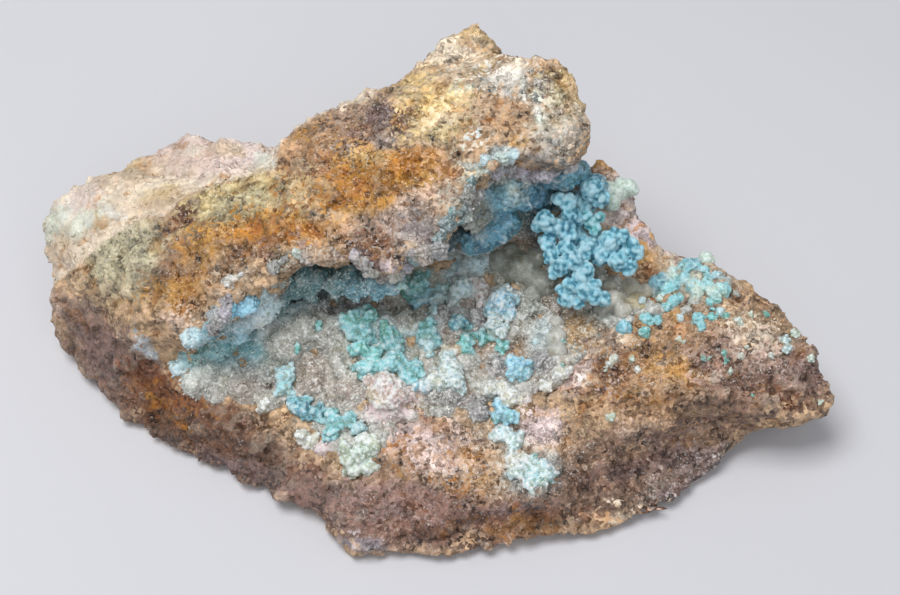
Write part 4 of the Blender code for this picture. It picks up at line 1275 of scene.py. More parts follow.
class Growth:
    """The geometry node trees that grow nodules, crystals and loose grains on a surface."""

    def __init__(self) -> None:
        """Builds each tree once."""
        self.nodules = self._nodules()
        self.crystals = self._crystals()
        self.sugar = self._sugar()

    @staticmethod
    def _start(name: str, sizes: dict) -> NodeGroup:
        """A tree of that name with the sizes of its own and the inputs that all three have.

        Args:
            name: Its name.
            sizes: Its own inputs, name to (socket type, default value).

        Returns:
            The tree's wiring.
        """
        shape = "NodeSocketGeometry"
        return NodeGroup(name, "GeometryNodeTree",
                         {"Geometry": (shape, None), **sizes, "Seed": ("NodeSocketInt", 1),
                          "Material": ("NodeSocketMaterial", None)}, {"Geometry": shape})

    @staticmethod
    def _strewn(w: NodeGroup, spots: bpy.types.Node, shape: Socket, size: Socket, turns: tuple,
                form: Socket) -> Socket:
        """A shape on every spot, each with its own turn and size.

        Args:
            w: The tree's wiring.
            spots: The node that makes the spots.
            shape: The shape, one unit in size.
            size: The middling size.
            turns: The least and the most turn about each axis, radians.
            form: The shape's stretch along each axis.

        Returns:
            The shapes, made real.
        """
        g, chance = w.given, "FunctionNodeRandomValue"
        spin = w.node(chance, {0: turns[0], 1: turns[1], "Seed": g["Seed"]}, data_type="FLOAT_VECTOR")
        spun = w.node("FunctionNodeEulerToRotation", {0: spin.outputs[0]})
        turned = w.node("FunctionNodeRotateRotation",
                        {"Rotation": spots.outputs["Rotation"], "Rotate By": spun.outputs[0]},
                        rotation_space="LOCAL")
        low = w.math("MULTIPLY", size, w.math("SUBTRACT", 1.0, g["Spread"]))
        high = w.math("MULTIPLY", size, w.math("ADD", 1.0, g["Spread"]))
        scale = w.node(chance, {2: low, 3: high, "Seed": g["Seed"]}, data_type="FLOAT").outputs[1]
        placed = w.node("GeometryNodeInstanceOnPoints",
                        {"Points": spots.outputs["Points"], "Instance": shape,
                         "Rotation": turned.outputs[0], "Scale": w.stretched(form, scale)})
        return w.node("GeometryNodeRealizeInstances", {"Geometry": placed.outputs[0]}).outputs[0]

    @staticmethod
    def _closed(w: NodeGroup, shapes: Socket) -> bpy.types.NodeTree:
        """Gives the shapes their material and ends the tree."""
        dressed = w.node("GeometryNodeSetMaterial", {"Geometry": shapes, "Material": w.given["Material"]})
        return w.closed({"Geometry": dressed.outputs[0]})

    def _nodules(self) -> bpy.types.NodeTree:
        """Rounded nodules all over a core, joined with it.

        Returns:
            The tree.
        """
        w = self._start("Nodules", {"Apart": (FLOAT, 0.0006), "Radius": (FLOAT, 0.0004),
                                    "Spread": (FLOAT, 0.3), "Stretch": (FLOAT, 0.0)})
        g = w.given
        spots = w.node("GeometryNodeDistributePointsOnFaces",
                       {"Mesh": g["Geometry"], "Distance Min": g["Apart"], "Density Max": 9e6,
                        "Seed": g["Seed"]}, distribute_method="POISSON")
        ball = w.node("GeometryNodeMeshIcoSphere", {"Radius": 1.0, "Subdivisions": 2})
        form = w.node("ShaderNodeCombineXYZ", {0: w.math("ADD", 1.0, g["Stretch"]), 1: 1.0, 2: 1.0})
        solid = self._strewn(w, spots, ball.outputs["Mesh"], g["Radius"], ((0, 0, 0), (0, 0, math.tau)),
                             form.outputs[0])
        joined = w.node("GeometryNodeJoinGeometry")
        w.tree.links.new(g["Geometry"], joined.inputs[0])
        w.tree.links.new(solid, joined.inputs[0])
        return self._closed(w, joined.outputs[0])

    def _scatter(self, name: str) -> NodeGroup:
        """The start of a tree that scatters one shape over a surface, and leaves out the surface."""
        return self._start(name, {"Density": (FLOAT, 1e6), "Size": (FLOAT, 0.0005), "Spread": (FLOAT, 0.4)})

    def _scattered(self, w: NodeGroup, shape: Socket, lean: float, squash: float) -> bpy.types.NodeTree:
        """The rest of such a tree.

        Args:
            w: The tree's wiring.
            shape: The shape, one unit in size.
            lean: How far each may lean from the surface's normal, radians.
            squash: The least share of its size that a shape keeps along each axis.

        Returns:
            The tree.
        """
        g = w.given
        cover = w.node("GeometryNodeInputNamedAttribute", {"Name": "cover"}, data_type="FLOAT")
        found = next(o for o in cover.outputs if o.enabled and o.name == "Attribute")
        spots = w.node("GeometryNodeDistributePointsOnFaces",
                       {"Mesh": g["Geometry"], "Density": w.math("MULTIPLY", found, g["Density"]),
                        "Seed": g["Seed"]}, distribute_method="RANDOM")
        shares = w.node("FunctionNodeRandomValue", {0: (squash,) * 3, 1: (1.0,) * 3, "Seed": g["Seed"]},
                        data_type="FLOAT_VECTOR")
        turns = ((-lean, -lean, -math.pi), (lean, lean, math.pi))
        return self._closed(w, self._strewn(w, spots, shape, g["Size"], turns, shares.outputs[0]))

    def _crystals(self) -> bpy.types.NodeTree:
        """Stubby six-sided crystals with blunt ends.

        Returns:
            The tree.
        """
        w = self._scatter("Druse crystals")
        cone = w.node("GeometryNodeMeshCone",
                      {"Vertices": 6, "Side Segments": 1, "Fill Segments": 1, "Radius Top": 0.28,
                       "Radius Bottom": 0.5, "Depth": 1.2}, fill_type="TRIANGLE_FAN")
        moved = w.node("GeometryNodeTransform",
                       {"Geometry": cone.outputs["Mesh"], "Translation": (0, 0, -0.35)})
        return self._scattered(w, moved.outputs[0], lean=0.7, squash=0.65)

    def _sugar(self) -> bpy.types.NodeTree:
        """Angular sugary grains.

        Returns:
            The tree.
        """
        w = self._scatter("Sugary grains")
        grain = w.node("GeometryNodeMeshIcoSphere", {"Radius": 0.5, "Subdivisions": 1})
        return self._scattered(w, grain.outputs["Mesh"], lean=3.1, squash=0.45)


def grow(obj: bpy.types.Object, tree: bpy.types.NodeTree, values: dict) -> bpy.types.Object:
    """Runs a geometry node tree on the object and keeps the result as its plain mesh.

    Args:
        obj: The object.
        tree: The tree.
        values: Input name to value.

    Returns:
        The same object.
    """
    modifier = obj.modifiers.new(tree.name, "NODES")
    modifier.node_group = tree
    for item in tree.interface.items_tree:
        if item.in_out == "INPUT" and item.name in values:
            modifier[item.identifier] = values[item.name]
    return bake(obj)


# ---- Seating on the ground


class Ground:
    """The surface that growths are seated on."""

    def __init__(self, *objects: bpy.types.Object) -> None:
        """Reads the surface.

        Args:
            objects: The objects whose faces make it.
        """
        points, faces = [], []
        for obj in objects:
            first = len(points)
            points += [obj.matrix_world @ v.co for v in obj.data.vertices]
            faces += [[first + v for v in p.vertices] for p in obj.data.polygons]
        self.tree = bvhtree.BVHTree.FromPolygons(points, faces)

    def met(self, start: Vector, along: Vector) -> Optional[Vector]:
        """The first point that a ray from the start meets, or None."""
        return self.tree.ray_cast(start, along)[0]

    def below(self, across: float, up: float, start: float = 30.0) -> Optional[Vector]:
        """The first point straight below a place on the face, or None."""
        return self.met(FACE.point(across, up, start), -FACE.normal)

    def seat(self, ball: Ball) -> Vector:
        """The centre of a ball that stands on the ground or where it says.

        Args:
            ball: The ball.

        Returns:
            Its centre in metres.
        """
        if ball.proud is not None:
            scale = (FACE.sight - ball.proud) / (FACE.sight - FACE.sight_plane) if ball.seen else 1.0
            return FACE.point(ball.across * scale, ball.up * scale, ball.proud)
        if ball.seen:
            eye = FACE.point(0, 0, FACE.sight)
            aim = FACE.point(ball.across, ball.up, FACE.sight_plane)
            hit = self.met(eye, (aim - eye).normalized()) or self.tree.find_nearest(aim)[0]
        else:
            hit = self.below(ball.across, ball.up)
        return hit - FACE.normal * ball.radius * ball.sink * MM

    def depth(self, points: np.ndarray) -> np.ndarray:
        """How far each point is inside the ground, mm, or less than 0 outside.

        Args:
            points: Rows of metres.

        Returns:
            One number for each point.
        """
        deep = np.empty(len(points))
        for number, point in enumerate(points):
            place, normal, _, _ = self.tree.find_nearest(Vector(point))
            deep[number] = -(Vector(point) - place).dot(normal) / MM
        return deep


# ---- The pieces


def finished(obj: bpy.types.Object, material: bpy.types.Material, node: str) -> bpy.types.Object:
    """Gives a piece its finish, puts it on the root body and hides the node that it stands for.

    Args:
        obj: The piece.
        material: Its finish.
        node: The node that it stands for, which is hidden.

    Returns:
        The piece.
    """
    obj.data.materials.clear()
    obj.data.materials.append(material)
    obj.data.polygons.foreach_set("use_smooth", [True] * len(obj.data.polygons))
    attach(obj, "root")
    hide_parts(node)
    log.info("%s: %d triangles", obj.name, triangles(obj.data))
    return obj


# The edge along which the front ledge stands out from the blocks behind it, left to right.
RIDGE = [(-47, 3.5), (-42.5, 7.2), (-38.6, 9.5), (-35.2, 10.2), (-32.8, 12.9), (-29, 14.2), (-26.5, 15),
         (-22.3, 15.9), (-21.4, 18), (-20.3, 20.2), (-16.1, 23.2), (-10.7, 24.9), (-9, 40)]


def beyond_ridge(places: np.ndarray) -> np.ndarray:
    """How far each place is from the ridge, which is ragged.

    Args:
        places: Rows of across, up and proud.

    Returns:
        The distances, more than 0 above it and less than 0 beneath it, mm.
    """
    spots = Painter.warped(places, 0.8, 2.4, 17)
    nearest = np.full(len(spots), 1e9)
    signed = np.zeros(len(spots))
    for (x0, y0), (x1, y1) in zip(RIDGE, RIDGE[1:]):
        step = np.array((x1 - x0, y1 - y0))
        away = spots - (x0, y0)
        share = np.clip(away @ step / (step @ step), 0, 1)
        gap = np.linalg.norm(away - share[:, None] * step, axis=1)
        side = np.sign(step[0] * away[:, 1] - step[1] * away[:, 0])
        closer = gap < nearest
        nearest[closer] = gap[closer]
        signed[closer] = (gap * side)[closer]
    return signed


@dataclass
class MatrixRock:
    """The rock itself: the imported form, re-skinned finely and broken into sugary grains."""

    voxel: float = 0.45  # mm
    evening: int = 5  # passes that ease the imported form's facets
    shards: tuple = ((3.4, 0.75), (1.7, 0.5), (1.0, 0.2))  # size and depth of each break, mm
    swell: Spot = (5.0, 0.35)  # size and height, mm
    streaks: float = 0.75  # mm high, beneath the arm
    arm: Spot = (12, 20)  # mm across where the arm's streaks start and are full
    arm_edge: Spot = (-12.5, -14.5)  # mm up the slope, likewise
    foot: Spot = (0.2, 1.6)  # mm above the floor, where the breaks fade out
    crest: float = 0.5  # mm, how far the ridge stands out
    crest_width: float = 0.7  # mm
    step: float = 1.9  # mm, how far the blocks behind the ridge drop
    step_width: float = 2.2  # mm
    calm: float = 0.45  # how much flatter the breaks are on those blocks
    arm_calm: float = 0.55  # how much flatter they are beneath the arm
    bare: tuple = (0.9, 0.8, 0.6)  # how much less iron, sugar and unevenness those blocks have
    far_side: Spot = (0.2, -0.2)  # how far a point faces out where the far side starts and is full
    far_iron: float = 0.45  # the least iron that the far side has
    far_sugar: float = 0.3  # the least sugar that it has

    def build(self, material: bpy.types.Material) -> bpy.types.Object:
        """Makes and dresses the rock.

        Args:
            material: Its finish.

        Returns:
            The piece.
        """
        obj = self._skin()
        self._break_up(obj.data)
        eased(obj, 1)
        self._paint(obj.data)
        return finished(obj, material, "matrix")

    def _skin(self) -> bpy.types.Object:
        """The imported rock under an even, fine skin.

        Returns:
            The object.
        """
        bm = bmesh.new()
        bm.from_mesh(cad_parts["matrix"].data)
        bmesh.ops.remove_doubles(bm, verts=bm.verts, dist=1e-6)
        rock = new_object("matrix_rock", mesh_of("matrix_rock", bm))
        return eased(remesh(rock, self.voxel), self.evening)

    def _break_up(self, mesh: bpy.types.Mesh) -> None:
        """Moves the skin in and out into shards, swells and streaks.

        Args:
            mesh: The rock's mesh.
        """
        points, normals = read_points(mesh), read_normals(mesh)
        spots, places = points / MM, FACE.places(points)
        height = self.swell[1] * fractal(spots, self.swell[0], 3, 31)
        height = broken(height, spots, self.shards, 100)
        under = smooth_step(*self.arm, places[:, 0]) * smooth_step(*self.arm_edge, places[:, 1])
        along = np.column_stack((places[:, 0] * 0.13, places[:, 1] + 0.12 * places[:, 0], places[:, 2]))
        height = height * (1 - self.arm_calm * under) + self.streaks * under * fractal(along, 1.3, 3, 61, 0.6)
        keep_number(mesh, "relief", np.clip(0.5 + height / 1.5, 0, 1))
        behind = beyond_ridge(places)
        front = smooth_step(0.0, 0.4, normals @ np.array(FACE.normal))
        height *= 1 - self.calm * smooth_step(0.2, 1.5, behind) * front
        drop = smooth_step(-0.3, 0.5, behind) * np.exp(-np.maximum(behind, 0) / self.step_width)
        crest = np.exp(-(behind / self.crest_width) ** 2)
        height += front * (self.crest * crest - self.step * drop)
        fade = smooth_step(*self.foot, spots[:, 2])
        points += normals * (height * fade * MM)[:, None]
        points[:, 2] = np.maximum(points[:, 2], 0.0)
        write_points(mesh, points)

    def _paint(self, mesh: bpy.types.Mesh) -> None:
        """Stores the stains and masks that the finish reads.

        Args:
            mesh: The rock's mesh.
        """
        places = FACE.places(read_points(mesh))
        facing = read_normals(mesh) @ np.array(FACE.normal)
        hidden = (SAND, CREAM, TAN, OCHRE, PINK, RUST)
        ledge, block = Painter(ROCK_STAINS, SAND, hidden), Painter(BLOCK_STAINS, CREAM, hidden)
        behind = smooth_step(-0.3, 0.3, beyond_ridge(places))
        for label, aside, jitter, seed in (("stain", (0, 0, 0), 1.6, 1),
                                           ("stain_far", (1.2, -1.0, 0), 4.0, 5)):
            near = ledge.colours(places + aside, facing, jitter, seed)
            pale = block.colours(places + 0.4 * np.array(aside), facing, 1.6, 1)
            keep_colour(mesh, label, near + (pale - near) * behind[:, None])
        away = smooth_step(*self.far_side, facing)
        less_iron, less_sugar, even = self.bare
        iron = mask(IRON_STAINS, places, 71) * (1 - less_iron * behind)
        sugar = mask(SUGAR_STAINS, places, 81) * (1 - less_sugar * behind)
        keep_number(mesh, "rough", 1 - even * behind * (1 - away))
        keep_number(mesh, "iron", np.maximum(iron * (1 - away), self.far_iron * away))
        keep_number(mesh, "sugar", np.maximum(sugar * (1 - away), self.far_sugar * away))


@dataclass
class SugarGrains:
    """Loose-looking angular grains that crust the rock's broken surface."""

    density: float = 3.0  # per square mm where the cover is full
    size: float = 0.58  # mm
    spread: float = 0.45
    least: float = 0.12  # the cover that is left outside the sugary patches and away from the face

    def build(self, growth: Growth, rock: bpy.types.Object, material: bpy.types.Material) -> bpy.types.Object:
        """Scatters the grains over the rock.

        Args:
            growth: The geometry node trees.
            rock: The finished rock.
            material: The grains' finish.

        Returns:
            The piece.
        """
        obj = new_object("sugar_grains", rock.data.copy())
        mesh, rest = obj.data, 1 - self.least
        points = read_points(mesh)
        sugar = np.empty(len(points))
        mesh.attributes["sugar"].data.foreach_get("value", sugar)
        front = smooth_step(-0.1, 0.3, read_normals(mesh) @ np.array(FACE.normal))
        clump = smooth_step(-0.25, 0.4, fractal(FACE.places(points), 3.0, 3, 91))
        high = smooth_step(1.5, 3.5, points[:, 2] / MM)
        keep_number(mesh, "cover", (self.least + rest * sugar) * clump * (self.least + rest * front) * high)
        grow(obj, growth.sugar, {"Density": self.density * 1e6, "Size": self.size * MM,
                                 "Spread": self.spread, "Seed": 4, "Material": material})
        return finished(obj, material, "matrix")


@dataclass
class Crust:
    """One crust of rounded growths, joined into one skin and thinned where the rock hides it."""

    name: str
    node: str
    balls: list[Ball]
    voxel: float  # mm
    core: float = 1.0  # share of each ball's radius that its core takes
    nodule: float = 0.0  # radius of the nodules on the cores, mm, or 0 for none
    apart: float = 0.7  # least distance between nodules, mm
    spread: float = 0.3  # how unequal the nodules are
    stretch: float = 0.0  # how much longer than wide they are
    evening: int = 0  # passes that melt the growths together
    shards: tuple = ()  # size and depth of the facets broken into the skin, mm
    swell: Spot = (1.2, 0.1)  # size and height, mm
    blend: float = 0.25  # how softly one ball's tone turns into the next, mm
    ragged: float = 0.4  # mm, how far the tones' edges stray
    grip: float = 1.3  # how firmly the balls' tones cover the ground's
    ground: Tone = HAZE
    stains: Sequence[Stain] = ()
    buried: float = 0.5  # mm inside the rock, beyond which the skin is thinned
    spare: int = 400  # triangles that the thinned part may keep
    seed: int = 1

    def build(self, ground: Ground, growth: Growth, material: bpy.types.Material,
              extra: Sequence[tuple[Vector, float]] = ()) -> bpy.types.Object:
        """Makes and dresses the crust.

        Args:
            ground: What it sits on.
            growth: The geometry node trees.
            material: Its finish.
            extra: More balls that carry no tone, as centre and radius in metres.

        Returns:
            The piece.
        """
        toned = [(ground.seat(ball), ball.radius * self.core * MM) for ball in self.balls]
        cores = [*toned, *extra]
        obj = self._cores(cores)
        if self.nodule:
            grow(obj, growth.nodules, {"Apart": self.apart * MM, "Radius": self.nodule * MM,
                                       "Spread": self.spread, "Stretch": self.stretch,
                                       "Seed": self.seed, "Material": material})
        remesh(obj, self.voxel)
        if self.evening:
            eased(obj, self.evening)
        drop_crumbs(obj)
        self._thin_buried(obj, ground)
        self._shape_and_paint(obj.data, cores, len(toned))
        if self.shards:
            eased(obj, 1)
        return finished(obj, material, self.node)

    def _cores(self, cores: Sequence[tuple[Vector, float]]) -> bpy.types.Object:
        """One mesh of the balls, still apart.

        Args:
            cores: Centre and radius of each in metres.

        Returns:
            The object that shows it.
        """
        bm = bmesh.new()
        bmesh.ops.create_icosphere(bm, subdivisions=3, radius=1.0)
        corners = np.array([tuple(vert.co) for vert in bm.verts])
        faces = np.array([[vert.index for vert in face.verts] for face in bm.faces])
        bm.free()
        points = [corners * radius + np.array(centre) for centre, radius in cores]
        turns = [faces + number * len(corners) for number in range(len(cores))]
        mesh = bpy.data.meshes.new(self.name)
        mesh.from_pydata(np.concatenate(points).tolist(), [], np.concatenate(turns).tolist())
        return new_object(self.name, mesh)

    def _thin_buried(self, obj: bpy.types.Object, ground: Ground) -> None:
        """Collapses the skin where it is well inside the rock.

        Args:
            obj: The crust.
            ground: What it sits on.
        """
        deep = ground.depth(read_points(obj.data)) > self.buried
        if not deep.any():
            return
        group = obj.vertex_groups.new(name="buried")
        group.add(np.flatnonzero(deep).tolist(), 1.0, "REPLACE")
        kept = sum(2 for polygon in obj.data.polygons if not all(deep[v] for v in polygon.vertices))
        ratio = min(1.0, (kept + self.spare) / triangles(obj.data))
        modified(obj, "DECIMATE", ratio=ratio, vertex_group=group.name)
        obj.vertex_groups.clear()

    def _shape_and_paint(self, mesh: bpy.types.Mesh, cores: Sequence[tuple[Vector, float]],
                         toned: int) -> None:
        """Roughens the skin, then stores its tones and how far each point stands out.

        Args:
            mesh: The crust's mesh.
            cores: Centre and radius of each ball in metres.
            toned: How many of them, from the first, carry a tone.
        """
        points, normals = read_points(mesh), read_normals(mesh)
        spots = points / MM
        centres = np.array([tuple(c) for c, _ in cores]) / MM
        radii = np.array([r for _, r in cores]) / MM
        height = self.swell[1] * fractal(spots, self.swell[0], 3, 300 + self.seed)
        height = broken(height, spots, self.shards, 400 + self.seed)
        if self.nodule:
            apart = np.linalg.norm(spots[:, None, :] - centres[None, :, :], axis=2) - radii
            relief = apart.min(axis=1) / self.nodule
        else:
            relief = 0.5 + height / (self.swell[1] + sum(depth for _, depth in self.shards) + 1e-6)
        keep_number(mesh, "relief", np.clip(relief, 0, 1))
        points = points + normals * (height * MM)[:, None]
        write_points(mesh, points)
        tones = np.array([ball.tone.value for ball in self.balls])
        places, facing = FACE.places(points), np.ones(len(points))
        for label, jitter, seed in (("stain", 1.0, 3), ("stain_far", 2.2, 9)):
            under = Painter(self.stains, self.ground).colours(places, facing, jitter, seed)
            push = self.ragged * jitter * fractal(spots, 1.5, 2, seed + 40)[:, None] * normals
            gap = np.linalg.norm((spots + push)[:, None, :] - centres[None, :toned], axis=2) - radii[:toned]
            weight = np.exp(-np.maximum(gap, 0) / self.blend)
            own = weight @ tones / np.maximum(weight.sum(axis=1), 1e-12)[:, None]
            cover = np.clip(weight.max(axis=1) * self.grip, 0, 1)[:, None]
            keep_colour(mesh, label, under + (own - under) * cover)


@dataclass
class DruseCrystals:
    """Tiny crystals that stand on the druse and catch the light."""

    density: float = 1.3  # per square mm
    size: float = 0.42  # mm
    spread: float = 0.4
    least: float = 0.25  # the cover that is left between the clumps

    def build(self, growth: Growth, druse: bpy.types.Object, material: bpy.types.Material,
              ground: Ground) -> bpy.types.Object:
        """Scatters the crystals over the druse.

        Args:
            growth: The geometry node trees.
            druse: The finished druse.
            material: The crystals' finish.
            ground: The rock, inside which none grow.

        Returns:
            The piece.
        """
        obj = new_object("druse_crystals", druse.data.copy())
        points = read_points(obj.data)
        open_air = smooth_step(0.1, -0.3, ground.depth(points))
        clump = smooth_step(-0.35, 0.3, fractal(points / MM, 2.5, 3, 95))
        keep_number(obj.data, "cover", open_air * (self.least + (1 - self.least) * clump))
        grow(obj, growth.crystals, {"Density": self.density * 1e6, "Size": self.size * MM,
                                    "Spread": self.spread, "Seed": 7, "Material": material})
        return finished(obj, material, "hollow_crust")


# ---- Where the growths are

# The outlines of the lined floor, across and up, and of the lined wall, across and proud.
HOLLOW_AREA = [
    (-36, -7.5), (-31, -4.5), (-26, -1), (-20, 4), (-14, 5), (-6, 3), (-1, 6), (3, 12), (7, 16), (13, 15.5),
    (17.5, 16.5), (19.5, 13), (19, 8), (21, 3), (25.5, 1), (26, -3), (20, -4.5), (15.5, -9), (9, -14),
    (3, -15), (-4, -14.5), (-9, -19), (-12.5, -22), (-17, -17.5), (-21, -13.5), (-27, -13), (-32, -12),
]
WALL_AREA = [
    (-27, -5), (-27, 1), (-20, 2), (10, 2), (17, 1), (17, -8), (5, -8), (-20, -5),
]
# Rounded lumps of sugary druse on the hollow's floor and beneath its lip.
DRUSE_LUMPS = [
    *seen(SMOKE, [(-22.5, -9.2, 1.4), (9.6, -1.6, 1.5), (4.6, 6.4, 1.4)], 0.05),
    # This HAZE lump, and the HAZE lump at across -5.5 further down, are given a pale tone as painted light
    # where the lip's shade falls.
    *seen(HAZE, [(-20.7, -6, 2.5)], 0.05),
    *seen(ICE, [(3.4, 4.3, 1.1), (0.8, 3.8, 0.9), (-32, -5, 1.6), (-33.8, -8.8, 1.3), (-21, -2.6, 1.2)],
        0.1),
    *seen(HAZE, [(-18, -3.8, 2.1), (-15.3, -5, 1.9), (-14, -7.4, 1.6), (-30.3, -9.4, 2), (-32, -11, 1.5),
        (2.3, -8.3, 1.4), (-22.3, -12.9, 1.4), (-3, -7.6, 1.7), (8.6, -3, 1.8), (-13.2, -9.4, 1.4),
        (-8.4, -9.6, 1.3), (25.5, -1.8, 1.3), (-15.5, -13.4, 1.6), (-12.6, -18.4, 1.4), (-6, 0.4, 1.3),
        (-1.6, -12.4, 1.4)], -0.05),
    *seen(GREY, [(-28.6, -2.4, 1.7), (-24.4, -9.4, 1.3), (-1.2, -2, 1.2), (3.4, -2.6, 1.5), (5.8, -8.6, 1.3),
        (3.5, -14.2, 1.6), (-26.9, -8.4, 1.6), (-16.2, -1.2, 1.4), (0.2, -12.2, 1.3), (11.4, -8.2, 1.2),
        (-11.8, -0.6, 1.3), (-7.4, 2.6, 1.2)], -0.05),
    *seen(HAZE, [(-27.5, -10.6, 2.2), (-29.2, -12, 1.6), (-5.5, -3, 1.8)], 0.05),
    *seen(AQUA, [(-29.4, -6.4, 1.9), (-31.4, -7.6, 1.6), (-24.4, -6.6, 1.6), (-27.4, -6.4, 1.4),
        (-27.8, -8, 1.5)], 0.2),
    *seen(TEAL, [(-26.6, -4.9, 1.8), (-23.6, -4.4, 1.5), (-19.8, -1.6, 1.3), (-29.8, -3.8, 1.1)], 0.2),
    *seen(BLUSH, [(-16, -19, 1.1), (-5.4, -12.4, 1.5), (-8.8, -13.6, 1.3)], 0.05),
    *seen(TAUPE, [(-17, -11, 1.8), (-17, -9, 1.6), (-12.8, -11.6, 1.6), (-25.8, -11.6, 1.8),
        (-6.8, -1.4, 1.6), (2.2, -1, 1.4), (12.6, -0.8, 1.3), (-21.4, -3.2, 1.3), (0, -4.6, 1.2),
        (-19.4, -12.2, 1.2), (-3.4, -9, 1)], 0.1),
    *lobed(chain((GREY, ICE, LILAC, SMOKE, LAGOON), [(-29.4, -4.2), (-26.6, -2.6), (-24.4, -1), (-22.2, 0.8),
        (-20.2, 2.4)], 0.85, 1.1, 0.1, 41), 2, 55),
    *chain((SMOKE, GREY, LAGOON), [(1.4, 9.6), (2.8, 12), (4.4, 13.6), (6.6, 14.7), (9.6, 15.2), (13, 15.4)],
        0.9, 0.8, 0.15, 42),
    *lobed(balls(LAGOON, [(-18.6, 3, 1.7, -3), (-20.4, 1.4, 1.6, -3), (-16.6, 2.4, 1.5, -2.4),
        (-22.4, -0.4, 1.7, -3), (-14.6, 1.6, 1.3, -1.6), (-18, 0.8, 1.2, -3), (-13.4, 2.4, 1.5, 0.3),
        (-9.8, 1.9, 1.4, 1), (-12.4, 0.9, 1.1, 0.4)]), 3, 53),
    *lobed(balls(TEAL, [(-11.6, 1.6, 1.3, 1), (-8, 1.5, 1.3, 1.5), (-9.2, 0.7, 1, 0.6)]), 3, 54),
    *balls(ICE, [(-6.6, 2, 1, 1.4), (-10.8, 0.7, 0.8, 1.2)]),
]
# Smooth half-clear lumps, with no sugar on them.
MILKY_LUMPS = [
    *seen(SMOKE, [(8.8, 3.2, 2.8), (11.5, 1.5, 2.1), (10.2, 0.2, 1.5), (10.8, 4.8, 1.6), (6, 4.6, 1.7),
        (13.2, 3.4, 1.4), (7.4, 5.8, 1.4)], 0.35),
    *seen(HAZE, [(13.2, -3.4, 1.3), (13.3, -5, 1.5), (13.4, -6.8, 1.4), (20.6, -0.6, 1.7), (20, 1.2, 1.2),
        (22.5, 1, 1.5), (19, -1.8, 1.2), (24.6, 0.6, 1.1)], 0.4),
    *seen(OLIVE, [(23.4, -1, 1.7)], 0.45),
    *seen(HAZE, [(21.6, -1.8, 1.4)], 0.4),
    *seen(ICE, [(0.4, 2.6, 1.1), (10.6, -5.6, 0.8)], 0.3),
]
# Smooth frosted masses beneath the lip.
TEAL_MASSES = [
    *balls(TEAL, [(7.5, 13.5, 2.7, -0.4), (5.7, 12.6, 2.1, -0.6), (7.2, 15.2, 1.6, -0.2)]),
    *balls(DEEP, [(9.5, 14.2, 2.1, -0.6), (10.8, 13, 1.7, -1.6), (6.2, 11.2, 1.5, -1.4)]),
    *balls(TEAL, [(3, 7, 1.5, -3.5), (4.6, 7.7, 1.8, -3), (6.2, 8.6, 1.9, -3), (7.6, 9.6, 1.7, -3),
        (14.5, 15.5, 2.1, -1), (18.5, 14, 1.8, -2.5), (16.3, 16, 1.8, -2), (12.6, 15.4, 1.5, -1)]),
    # The SKY and ICE balls below stand proud on the masses: pale frost, partly painted highlight.
    *balls(SKY, [(7.4, 15, 0.9, 0.9), (5, 13.6, 0.8, 0.6), (9.6, 14.9, 0.8, 0.7), (4.6, 8.8, 0.6, -1.7),
        (7.3, 10.4, 0.7, -1.7), (14.2, 16.2, 0.8, 0.3), (3, 7.6, 0.6, -2.6)]),
    *balls(ICE, [(8.2, 12.2, 0.8, 1.4), (16.2, 16.6, 0.7, -0.6)]),
    # The DEEP and NIGHT balls below sit low beneath the masses and the lip: painted shade.
    *balls(DEEP, [(4, 6.6, 1, -2.2), (6.6, 7.7, 1, -2.2), (9.4, 12, 1.2, -0.9)]),
    *balls(NIGHT, [(0.5, 8.5, 1.5, -3), (12, 12.8, 1.9, -3.2), (-0.6, 7, 1.2, -3)]),
    *balls(SMOKE, [(4, 12, 1.6, 0), (2.4, 10, 1.3, 1), (3, 11.2, 1.1, 0.8), (4.2, 10.5, 1.4, -0.4),
        (3.4, 9.2, 1.1, -0.6)]),
    *seen(SKY, [(-25.2, -0.5, 1.5), (-26, -1.3, 1.2)], 0.1),
    *seen(TEAL, [(-27.6, -1.4, 1.3)], 0.1),
    *balls(STRAW, [(6.4, 15.1, 0.45, 1.2), (7.4, 14.9, 0.4, 1.5), (8, 13.4, 0.5, 1.5), (9, 12.9, 0.3, 0.8),
        (6, 14.2, 0.3, 0.9)]),
]
